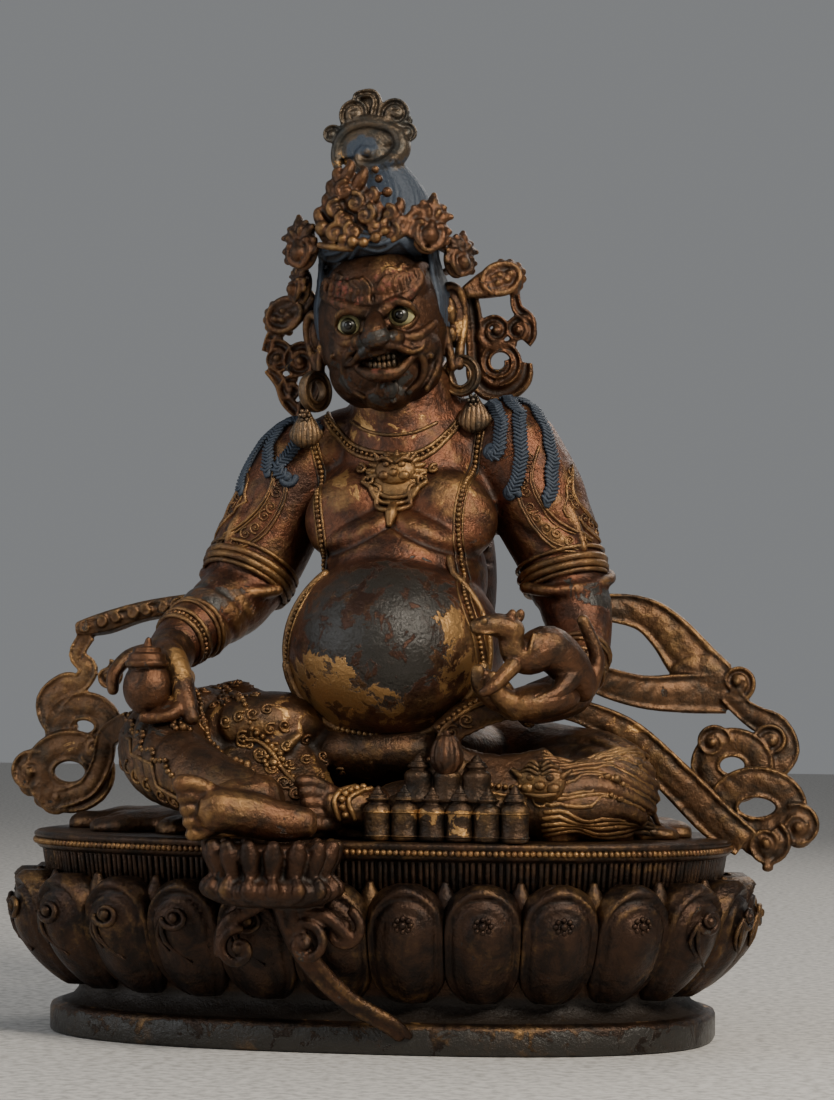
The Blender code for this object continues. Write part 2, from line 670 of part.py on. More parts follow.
def footrest_stem(top):
    bm = bmesh.new()
    foot = Vector((-top.x, -BASE_DEPTH / 2 + FOOT_BAND_INSET + 0.002, FOOT_BAND_HEIGHT * 0.7))
    path = [top + Vector((0.002, 0, 0.003)), top + Vector((0.003, -0.004, -0.006)),
            top.lerp(foot, 0.55) + Vector((0, -0.006, 0)), foot]
    limb(bm, [(*place, STEM_RADIUS) for place in path], sides=8, round_ends=False)
    bmesh.ops.recalc_face_normals(bm, faces=bm.faces)
    return bm


def helper(obj):
    """Marks a closed shape that only takes part in a join or a cut."""
    obj.hide_render = True
    obj.display_type = "WIRE"
    return obj


def boolean(obj, other, operation):
    step = obj.modifiers.new(operation.lower(), "BOOLEAN")
    step.operation = operation
    step.object = other


def build_pedestal(material):
    pedestal = pedestal_body()
    lotus, under = footrest()
    boolean(pedestal, helper(new_object("footrest_lotus", lotus)), "UNION")
    boolean(pedestal, helper(new_object("footrest_stem", footrest_stem(under))), "UNION")
    pedestal.data.materials.append(material)
    return pedestal


# Fitting the castings together

def clearance_copy(obj, gap):
    """A hidden copy of a casting that is larger all round by the gap, to cut its neighbours with."""
    graph = bpy.context.evaluated_depsgraph_get()
    mesh = bpy.data.meshes.new_from_object(obj.evaluated_get(graph))
    copy = bpy.data.objects.new(obj.name + "_clearance", mesh)
    bpy.context.scene.collection.objects.link(copy)
    grow = copy.modifiers.new("grow", "DISPLACE")
    grow.strength = gap
    grow.mid_level = 0.0
    return helper(copy)


def keep_clear(obj, cutters):
    """Cuts a casting back from its neighbours and drops any crumb that the cut leaves."""
    for cutter in cutters:
        boolean(obj, cutter, "DIFFERENCE")
    bake(obj)
    largest_piece(obj.data)


def main():
    clear_scene()
    gilt = finish_material("aged_gilt_bronze", (0.22, 0.12, 0.05), 0.42, 0.85)
    dark = finish_material("dark_bronze", (0.07, 0.045, 0.03), 0.5, 0.7)
    bright = finish_material("rubbed_gilt", (0.36, 0.2, 0.08), 0.4, 0.9)
    pedestal = build_pedestal(dark)
    seat = BASE_HEIGHT + SEAT_GAP
    figure = casting("figure", figure_shapes, gilt, FIGURE_TRIANGLES, seat=seat)
    crown = casting("crown", crown_shapes, bright, CROWN_TRIANGLES)
    scarf_right = casting("scarf_right", scarf_right_shapes, bright, SCARF_TRIANGLES)
    scarf_left = casting("scarf_left", scarf_left_shapes, bright, SCARF_TRIANGLES)
    vases = casting("treasure_vases", vases_shapes, dark, VASES_TRIANGLES, seat=seat, grid=VASES_FUSE_GRID)
    near_figure = clearance_copy(figure, SEAT_GAP * 1.5)
    near_pedestal = clearance_copy(pedestal, SEAT_GAP * 1.5)
    for piece in (crown, vases):
        keep_clear(piece, [near_figure])
    for piece in (scarf_right, scarf_left):
        keep_clear(piece, [near_figure, near_pedestal])


main()
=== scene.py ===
"""The looks of a seated Jambhala, cast and gilded, on its lotus pedestal.

Pieces are drawn on the figure's grid: x to the right of someone who looks at the face, y away from
them, z up from the top of the pedestal, and one unit for each 1/238.5 of the figure's height.
"""

import random
from math import atan2, cos, degrees, exp, hypot, pi, radians, sin, sqrt

import bmesh
import bpy
import numpy as np
from mathutils import Euler, Matrix, Vector
from mathutils.bvhtree import BVHTree


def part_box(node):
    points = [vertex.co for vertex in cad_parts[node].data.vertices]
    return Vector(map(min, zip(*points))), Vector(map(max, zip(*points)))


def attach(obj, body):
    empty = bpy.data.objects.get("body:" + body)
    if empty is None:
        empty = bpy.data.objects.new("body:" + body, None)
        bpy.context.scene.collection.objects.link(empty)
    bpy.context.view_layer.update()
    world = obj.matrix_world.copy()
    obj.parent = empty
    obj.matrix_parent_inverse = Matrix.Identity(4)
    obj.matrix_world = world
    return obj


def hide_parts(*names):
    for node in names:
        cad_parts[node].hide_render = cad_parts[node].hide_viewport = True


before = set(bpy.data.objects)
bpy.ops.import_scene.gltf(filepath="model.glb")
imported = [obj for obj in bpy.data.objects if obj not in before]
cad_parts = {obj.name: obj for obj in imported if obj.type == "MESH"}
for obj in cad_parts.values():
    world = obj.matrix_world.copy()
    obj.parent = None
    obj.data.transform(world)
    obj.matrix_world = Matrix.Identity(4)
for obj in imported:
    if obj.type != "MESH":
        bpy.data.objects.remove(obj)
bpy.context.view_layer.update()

bl_info = {
    "name": "Seated Jambhala",
    "version": (1, 0, 0),
    "blender": (4, 5, 0),
    "location": "View3D > Sidebar > Jambhala",
    "description": "Builds the cast and gilded looks of a seated Jambhala on its lotus pedestal",
    "category": "Object",
}

BASE_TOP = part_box("lotus_pedestal")[1].z
GRID_HEIGHT = 238.5
SEAT_GAP = 0.00005


# Sizes and colours that a user would change

class StatueSizes(bpy.types.PropertyGroup):
    figure_height: bpy.props.FloatProperty(
        name="Figure height", description="From the top of the pedestal to the tip of the topknot",
        default=0.2385, unit="LENGTH")
    base_width: bpy.props.FloatProperty(
        name="Base width", description="Width of the pedestal's rim", default=0.222, unit="LENGTH")
    base_depth: bpy.props.FloatProperty(
        name="Base depth", description="Depth of the pedestal's rim", default=0.146, unit="LENGTH")
    petal_count: bpy.props.IntProperty(
        name="Petals", description="Number of lotus petals round the pedestal", default=27, min=8)
    rim_bead_count: bpy.props.IntProperty(
        name="Rim beads", description="Number of beads round the pedestal's rim", default=330, min=40)


class StatueColours(bpy.types.PropertyGroup):
    bronze: bpy.props.FloatVectorProperty(
        name="Bronze", description="Dark patina of the bare metal", subtype="COLOR",
        default=(0.082, 0.046, 0.027))
    gilding: bpy.props.FloatVectorProperty(
        name="Gilding", description="Worn gold on the raised parts", subtype="COLOR",
        default=(0.40, 0.225, 0.085))
    # Grime colour: laid in the hollows, where it stands for real grime and for painted shade.
    grime_and_shade: bpy.props.FloatVectorProperty(
        name="Grime_And_Shade", description="Soot and dirt in the hollows", subtype="COLOR",
        default=(0.018, 0.012, 0.008))
    lacquer: bpy.props.FloatVectorProperty(
        name="Lacquer", description="Rests of red lacquer", subtype="COLOR",
        default=(0.15, 0.034, 0.020))
    pigment: bpy.props.FloatVectorProperty(
        name="Pigment", description="Rests of blue paint in the hair", subtype="COLOR",
        default=(0.034, 0.046, 0.066))
    eye_white: bpy.props.FloatVectorProperty(
        name="Eye white", description="Painted white of the eyes", subtype="COLOR",
        default=(0.44, 0.40, 0.20))


# Places on the figure's grid

def unit():
    return bpy.context.scene.statue_sizes.figure_height / GRID_HEIGHT


def to_frame(bm):
    """Takes a shape from the figure's grid to metres in the frame."""
    size = unit()
    bmesh.ops.transform(bm, matrix=Matrix.Translation((0, 0, BASE_TOP)) @ Matrix.Scale(size, 4),
                        verts=bm.verts)


HEAD = Matrix.Translation((2, -8, 157)) @ Euler((radians(4), radians(-5), 0)).to_matrix().to_4x4()


def from_head(points):
    """Points of the head's own grid, on the figure's grid. Sizes after the place are kept."""
    return [(*(HEAD @ Vector(p[:3])), *p[3:]) for p in points]


# Shaping

BEAD_CORNERS = []


def round_angles(count, extra=0):
    """Even angles round a circle. One extra comes back to the start."""
    return [2 * pi * k / count for k in range(count + extra)]


def smooth_path(points, steps=5, closed=False):
    """More stations on a curve through the given ones. Each station may carry sizes after its place."""
    tuples = [tuple(p) for p in points]
    if closed:
        padded = [tuples[-1], *tuples, tuples[0], tuples[1]]
        spans = len(tuples)
    else:
        padded = [tuples[0], *tuples, tuples[-1]]
        spans = len(tuples) - 1
    path = []
    for i in range(spans):
        before, start, end, after = padded[i : i + 4]
        for k in range(steps):
            t = k / steps
            weights = (
                -0.5 * t + t * t - 0.5 * t**3,
                1 - 2.5 * t * t + 1.5 * t**3,
                0.5 * t + 2 * t * t - 1.5 * t**3,
                -0.5 * t * t + 0.5 * t**3,
            )
            stations = zip(before, start, end, after)
            path.append(tuple(sum(w * v for w, v in zip(weights, s)) for s in stations))
    if not closed:
        path.append(tuples[-1])
    return path


def skin(bm, rings, closed=False):
    """A closed skin: a grid is bent so that each of its rows takes one ring, and its ends draw shut."""
    rows = [list(ring) for ring in rings]
    sides = len(rows[0])
    if closed:
        rows.append(rows[0])
    else:
        first = sum(rows[0], Vector()) / sides
        last = sum(rows[-1], Vector()) / sides
        rows = [[first] * sides, *rows, [last] * sides]
    steps = len(rows) - 1
    verts = bmesh.ops.create_grid(bm, x_segments=sides, y_segments=steps, size=0.5)["verts"]
    for vert in verts:
        k = round((vert.co.x + 0.5) * sides) % sides
        vert.co = rows[round((vert.co.y + 0.5) * steps)][k]
    return verts


def tangents(places, closed=False):
    count = len(places)
    result = []
    for i in range(count):
        if closed:
            along = places[(i + 1) % count] - places[i - 1]
        else:
            along = places[min(i + 1, count - 1)] - places[max(i - 1, 0)]
        result.append(along.normalized())
    return result


def limb(bm, stations, sides=12, steps=5, closed=False, flat=1.0, facing=None):
    """A round limb with domed ends through stations (x, y, z, radius). Flat squeezes it where it faces."""
    path = smooth_path(stations, steps, closed)
    if not closed:
        places = [Vector(p[:3]) for p in path]
        lead, trail = (places[0] - places[1]).normalized(), (places[-1] - places[-2]).normalized()
        start, end = path[0], path[-1]
        domes = ((0.5, 0.86), (0.87, 0.5))
        path = ([(*(places[0] + lead * start[3] * out), start[3] * thin) for out, thin in reversed(domes)]
                + path + [(*(places[-1] + trail * end[3] * out), end[3] * thin) for out, thin in domes])
    places = [Vector(p[:3]) for p in path]
    hint = Vector(facing) if facing is not None else Vector((0.31, -0.9, 0.29))
    rings = []
    for place, along, station in zip(places, tangents(places, closed), path):
        side = along.cross(hint).normalized()
        up = side.cross(along) * flat
        angles = [2 * pi * k / sides for k in range(sides)]
        rings.append([place + (side * cos(a) + up * sin(a)) * station[3] for a in angles])
    skin(bm, rings, closed)


PLAIN_BAND = ((-1, 0), (-0.7, 0.8), (0, 1), (0.7, 0.8), (1, 0), (0.7, -0.8), (0, -1), (-0.7, -0.8))
GROOVED_BAND = ((-1, 0), (-0.94, 0.75), (-0.68, 1.0), (-0.42, 0.7), (-0.22, 0.2), (0, 0.1), (0.22, 0.2), (0.42, 0.7),
                (0.68, 1.0), (0.94, 0.75), (1, 0), (0.6, -0.9), (0, -1), (-0.6, -0.9))
RIMMED_BAND = ((-1, 0), (-0.96, 0.7), (-0.86, 1.0), (-0.74, 0.75), (-0.66, 0.5), (-0.35, 0.8), (0, 0.92),
               (0.35, 0.8), (0.66, 0.5), (0.74, 0.75), (0.86, 1.0), (0.96, 0.7), (1, 0), (0.7, -0.9), (0, -1),
               (-0.7, -0.9))


def band(bm, stations, thickness, facing=(0, -1, 0), profile=PLAIN_BAND, steps=5, closed=False):
    """A band through stations (x, y, z, half width) that lies across the facing direction."""
    path = smooth_path(stations, steps, closed)
    places = [Vector(p[:3]) for p in path]
    front = Vector(facing).normalized()
    rings = []
    for place, along, station in zip(places, tangents(places, closed), path):
        side = along.cross(front).normalized()
        out = side.cross(along).normalized()
        rings.append([place + side * u * station[3] + out * (w * thickness / 2) for u, w in profile])
    skin(bm, rings, closed)


def blob(bm, centre, radii, turn=(0, 0, 0), frame_of=None, detail=3):
    """An ellipsoid, turned by three angles in degrees."""
    angles = Euler([radians(a) for a in turn]).to_matrix().to_4x4()
    place = Matrix.Translation(Vector(centre)) @ angles @ Matrix.Diagonal((*radii, 1.0))
    if frame_of is not None:
        place = frame_of @ place
    bmesh.ops.create_icosphere(bm, subdivisions=detail, radius=1.0, matrix=place)


def bead_shape():
    """The small round bead that rows and rosettes repeat, with the places of its corners at size one."""
    mesh = bpy.data.meshes.get("bead_shape")
    if mesh is None:
        bm = bmesh.new()
        bmesh.ops.create_uvsphere(bm, u_segments=8, v_segments=6, radius=1.0)
        mesh = bpy.data.meshes.new("bead_shape")
        bm.to_mesh(mesh)
        bm.free()
        BEAD_CORNERS.append(places_of(mesh))
    return mesh, BEAD_CORNERS[0]


def bead(bm, centre, radius):
    mesh, corners = bead_shape()
    placed = corners * radius + np.array(centre)
    mesh.vertices.foreach_set("co", placed.astype(np.float32).ravel())
    bm.from_mesh(mesh)


def ring(bm, centre, radius_x, radius_z, half_width, thickness, facing=(0, -1, 0), profile=PLAIN_BAND):
    """A closed band in the plane that looks along facing."""
    front = Vector(facing).normalized()
    across = Vector((0, 0, 1)).cross(front).normalized()
    stations = []
    for a in round_angles(14):
        place = Vector(centre) + across * radius_x * cos(a) + Vector((0, 0, radius_z * sin(a)))
        stations.append((*place, half_width))
    band(bm, stations, thickness, facing, profile, steps=4, closed=True)


def spiral(centre, radius, turns, start, hand, thick, thin, across=Vector((1, 0, 0)), up=Vector((0, 0, 1)),
           inner=0.12):
    """Stations of a curl that winds in to its centre."""
    count = max(8, int(turns * 12))
    stations = []
    for k in range(count + 1):
        t = k / count
        a = radians(start) + hand * 2 * pi * turns * t
        r = radius * (1 - (1 - inner) * t)
        place = Vector(centre) + across * (r * cos(a)) + up * (r * sin(a))
        stations.append((*place, thick + (thin - thick) * t))
    return stations


def flat_spiral(x, z, *shape):
    """The stations (x, z, size) of a curl, for laying on a front."""
    return [(p[0], p[2], p[3]) for p in spiral((x, 0, z), *shape)]


def curl(bm, centre, radius, turns=1.2, start=0, hand=1, thick=1.6, thin=1.0, deep=2.0, ball=1.4):
    """A cloud curl of round section, with a ball at its heart."""
    limb(bm, spiral(centre, radius, turns, start, hand, thick, thin), sides=10, steps=2, flat=deep / thick,
         facing=(0, -1, 0))
    if ball:
        x, y, z = centre
        blob(bm, (x, y - deep * 0.35, z), (ball, ball, ball), detail=2)


def rolled(bm, centre, radius, turns=1.2, start=0, hand=1, half=2.0, thin=1.4, deep=3.0, ball=1.3, inner=0.25):
    """A grooved band that rolls up round a ball."""
    band(bm, spiral(centre, radius, turns, start, hand, half, thin, inner=inner), deep, profile=GROOVED_BAND,
         steps=2)
    if ball:
        x, y, z = centre
        blob(bm, (x, y - deep * 0.3, z), (ball, ball, ball), detail=2)


def lay(tree, points, lift=0.0):
    """Moves points to the nearest place on a shape, each a little proud of it. Sizes are kept."""
    laid = []
    for x, y, z, *sizes in points:
        place, normal = tree.find_nearest(Vector((x, y, z)))[:2]
        laid.append((*(place + normal * lift), *sizes))
    return laid


def drape(tree, points, lift=0.0):
    """Lays points (x, z, sizes) on the front of a shape."""
    laid = []
    along = Vector((0, 1, 0))
    for x, z, *sizes in points:
        hit, normal = tree.ray_cast(Vector((x, 0, z)) - along * 300, along)[:2]
        if hit is not None:
            laid.append((*(hit + normal * lift), *sizes))
    return laid


def spaced(points, pitch):
    """Places at an even pitch along a path."""
    places = [Vector(p[:3]) for p in points]
    result, left = [places[0]], pitch
    for here, there in zip(places, places[1:]):
        length = (there - here).length
        gone = left
        while gone <= length and length > 0:
            result.append(here.lerp(there, gone / length))
            gone += pitch
        left = gone - length
    return result


def laid_line(bm, tree, points, radius, lift=0.0, sides=8, steps=4):
    """A ridge that follows a shape through points (x, y, z)."""
    path = lay(tree, smooth_path([(*p[:3], radius) for p in points], steps), lift)
    limb(bm, path, sides, steps=1)


def laid_beads(bm, tree, points, radius, lift=0.0, pitch=None):
    for place in spaced(lay(tree, smooth_path([p[:3] for p in points], 6), lift), pitch or radius * 2.05):
        bead(bm, place, radius)


def draped_line(bm, tree, points, radius, lift=0.0, sides=8, steps=5):
    """A ridge (x, z) that lies on the front of a shape."""
    path = drape(tree, smooth_path([(*p[:2], radius) for p in points], steps), lift)
    if len(path) > 1:
        limb(bm, path, sides, steps=1)


def draped_beads(bm, tree, points, radius, lift=0.0, pitch=None):
    for place in spaced(drape(tree, smooth_path([p[:2] for p in points], 8), lift), pitch or radius * 2.05):
        bead(bm, place, radius)


def laid_scroll(bm, tree, centre, radius, turns=1.5, start=0, hand=1, thick=0.7):
    """A spiral tendril that lies on a shape, with a bead at its heart."""
    place, normal = tree.find_nearest(Vector(centre))[:2]
    across = normal.cross(Vector((0, 0, 1)))
    across = -across.normalized() if across.length > 0.1 else Vector((1, 0, 0))
    up = across.cross(normal).normalized()
    stations = spiral(place, radius, turns, start, hand, thick, thick * 0.7, across, -up)
    path = lay(tree, smooth_path(stations, 2), thick * 0.25)
    limb(bm, path, 6, steps=1)
    bead(bm, lay(tree, [tuple(place)], thick * 0.5)[0], thick * 1.2)


# Finishing

def edges_of(mesh):
    ends = np.empty(len(mesh.edges) * 2, np.int32)
    mesh.edges.foreach_get("vertices", ends)
    return ends[0::2], ends[1::2]


def places_of(mesh):
    flat = np.empty(len(mesh.vertices) * 3, np.float32)
    mesh.vertices.foreach_get("co", flat)
    return flat.reshape(-1, 3).astype(float)


def normals_of(mesh):
    flat = np.empty(len(mesh.vertices) * 3, np.float32)
    mesh.vertices.foreach_get("normal", flat)
    return flat.reshape(-1, 3).astype(float)


def spread(mesh, values, rounds):
    """Values of the vertices, each mixed with its neighbours' a number of times."""
    a, b = edges_of(mesh)
    count = len(mesh.vertices)
    share = 1 / np.maximum(1, np.bincount(a, minlength=count) + np.bincount(b, minlength=count))
    columns = values.reshape(count, -1)
    for _ in range(rounds):
        mixed = np.empty_like(columns)
        for k in range(columns.shape[1]):
            column = columns[:, k]
            total = np.bincount(a, column[b], count) + np.bincount(b, column[a], count)
            mixed[:, k] = 0.4 * column + 0.6 * total * share
        columns = mixed
    return columns.reshape(values.shape)


def write_relief(mesh):
    """Keeps how far each place stands out of its surroundings, for the wear, for the grime and painted shade in the
    hollows, and for the painted shade where pigment thins in the grooves.
    """
    places, normals = places_of(mesh), normals_of(mesh)
    near = ((places - spread(mesh, places, 6)) * normals).sum(1) / unit()
    wide = ((places - spread(mesh, places, 40)) * normals).sum(1) / unit()
    relief = np.tanh(spread(mesh, near, 1) * 5.0) * 0.6 + np.tanh(wide * 1.2) * 0.5
    attribute = mesh.attributes.new("relief", "FLOAT", "POINT")
    attribute.data.foreach_set("value", relief.astype(np.float32))


def write_finish(mesh, patches):
    """Marks where gilding, lacquer, pigment and soot lie, the soot also standing for painted shade in places. A patch
    is (kind, place, reach, strength).
    """
    places = (places_of(mesh) - np.array((0, 0, BASE_TOP))) / unit()
    kinds = "gilt lacquer pigment soot".split()
    marks = np.zeros((len(places), 4))
    for kind, centre, reach, strength in patches:
        away = (((places - np.array(centre)) / np.array(reach)) ** 2).sum(1)
        column = kinds.index(kind)
        patch = strength * np.clip(1.6 * (1 - away), 0, 1)
        stronger = np.abs(patch) > np.abs(marks[:, column])
        marks[stronger, column] = patch[stronger]
    soot = mesh.attributes.new("soot", "FLOAT", "POINT")
    soot.data.foreach_set("value", marks[:, 3].astype(np.float32))
    marks[:, 3] = 1
    finish = mesh.attributes.new("finish", "FLOAT_COLOR", "POINT")
    finish.data.foreach_set("color", marks.astype(np.float32).ravel())


def without_hollows(mesh):
    """Takes away crumbs and closed hollows that fusing leaves inside."""
    a, b = edges_of(mesh)
    label = np.arange(len(mesh.vertices))
    while True:
        low = np.minimum(label[a], label[b])
        lower = label.copy()
        np.minimum.at(lower, a, low)
        np.minimum.at(lower, b, low)
        lower = lower[lower]
        if (lower == label).all():
            break
        label = lower
    sizes = np.bincount(label)
    keep = np.zeros(len(sizes), bool)
    places, normals = places_of(mesh), normals_of(mesh)
    for shell in np.nonzero(sizes)[0]:
        own = places[label == shell]
        facing = ((own - own.mean(0)) * normals[label == shell]).sum()
        keep[shell] = sizes[shell] > 60 and facing > 0
    if keep[label].all():
        return
    bm = bmesh.new()
    bm.from_mesh(mesh)
    bm.verts.ensure_lookup_table()
    gone = [bm.verts[i] for i in np.nonzero(~keep[label])[0]]
    bmesh.ops.delete(bm, geom=gone, context="VERTS")
    bm.to_mesh(mesh)
    bm.free()


def bake(obj):
    """Replaces the object's mesh by what its modifiers make of it."""
    graph = bpy.context.evaluated_depsgraph_get()
    mesh = bpy.data.meshes.new_from_object(obj.evaluated_get(graph))
    obj.modifiers.clear()
    obj.data = mesh


def piece(name, bm, fused=None, smoothing=2, carve=None):
    """Makes an object of a shape on the figure's grid. Fused is the grid that melts its parts together."""
    if fused is None:
        bmesh.ops.remove_doubles(bm, verts=bm.verts, dist=1e-4)
        bmesh.ops.dissolve_degenerate(bm, dist=1e-5, edges=bm.edges)
    bmesh.ops.recalc_face_normals(bm, faces=bm.faces)
    to_frame(bm)
    mesh = bpy.data.meshes.new(name)
    bm.to_mesh(mesh)
    bm.free()
    obj = bpy.data.objects.new(name, mesh)
    bpy.context.scene.collection.objects.link(obj)
    if fused is not None:
        melt = obj.modifiers.new("melt", "REMESH")
        melt.mode = "VOXEL"
        melt.voxel_size = fused * unit() * 1.0
        soften = obj.modifiers.new("soften", "SMOOTH")
        soften.factor = 0.5
        soften.iterations = smoothing
        bake(obj)
        without_hollows(obj.data)
    if carve is not None:
        places = (places_of(obj.data) - np.array((0, 0, BASE_TOP))) / unit()
        normals = normals_of(obj.data)
        moved = places_of(obj.data) + normals * (carve(places, normals) * unit())[:, None]
        obj.data.vertices.foreach_set("co", moved.astype(np.float32).ravel())
        obj.data.update()
    return obj


def finish_piece(obj, material, patches=(), replaces=()):
    """Gives a piece its wear, its marks of grime, soot and painted shade, its metal and its place in the frame."""
    mesh = obj.data
    mesh.polygons.foreach_set("use_smooth", [True] * len(mesh.polygons))
    write_relief(mesh)
    write_finish(mesh, patches)
    mesh.materials.clear()
    mesh.materials.append(material)
    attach(obj, "root")
    if replaces:
        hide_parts(*replaces)
    return obj


def cast(name, bm, metal, slot, patches=(), replaces=(), **shaping):
    """Makes a piece of a shape in one of the statue's metals."""
    return finish_piece(piece(name, bm, **shaping), statue_metal(metal), patches, replaces)


def tree_of(*objects):
    """A search tree of pieces, back on the figure's grid."""
    bm = bmesh.new()
    for obj in objects:
        bm.from_mesh(obj.data)
    size = unit()
    bmesh.ops.transform(bm, matrix=Matrix.Scale(1 / size, 4) @ Matrix.Translation((0, 0, -BASE_TOP)),
                        verts=bm.verts)
    tree = BVHTree.FromBMesh(bm)
    bm.free()
    return tree


def part(name):
    found = bpy.data.objects.get(name)
    if found is None:
        raise RuntimeError(f"build {name} first")
    return found


# Metal

def mask_between(tree, value, low, high):
    node = tree.nodes.new("ShaderNodeMapRange")
    node.interpolation_type = "SMOOTHSTEP"
    node.inputs["From Min"].default_value = low
    node.inputs["From Max"].default_value = high
    tree.links.new(value, node.inputs["Value"])
    return node.outputs["Result"]


def combined(tree, operation, *values):
    node = tree.nodes.new("ShaderNodeMath")
    node.operation = operation
    for socket, value in zip(node.inputs, values):
        if isinstance(value, (int, float)):
            socket.default_value = value
        else:
            tree.links.new(value, socket)
    return node.outputs[0]


def blended(tree, factor, below, above):
    node = tree.nodes.new("ShaderNodeMix")
    node.data_type = "RGBA"
    tree.links.new(factor, node.inputs["Factor"])
    for socket, value in ((node.inputs[6], below), (node.inputs[7], above)):
        if isinstance(value, tuple):
            socket.default_value = (*value, 1)
        else:
            tree.links.new(value, socket)
    return node.outputs[2]


def noise(tree, coordinates, scale, detail=4.0, roughness=0.55, distortion=0.0):
    node = tree.nodes.new("ShaderNodeTexNoise")
    node.inputs["Scale"].default_value = scale
    node.inputs["Detail"].default_value = detail
    node.inputs["Roughness"].default_value = roughness
    node.inputs["Distortion"].default_value = distortion
    tree.links.new(coordinates, node.inputs["Vector"])
    return node.outputs["Fac"]


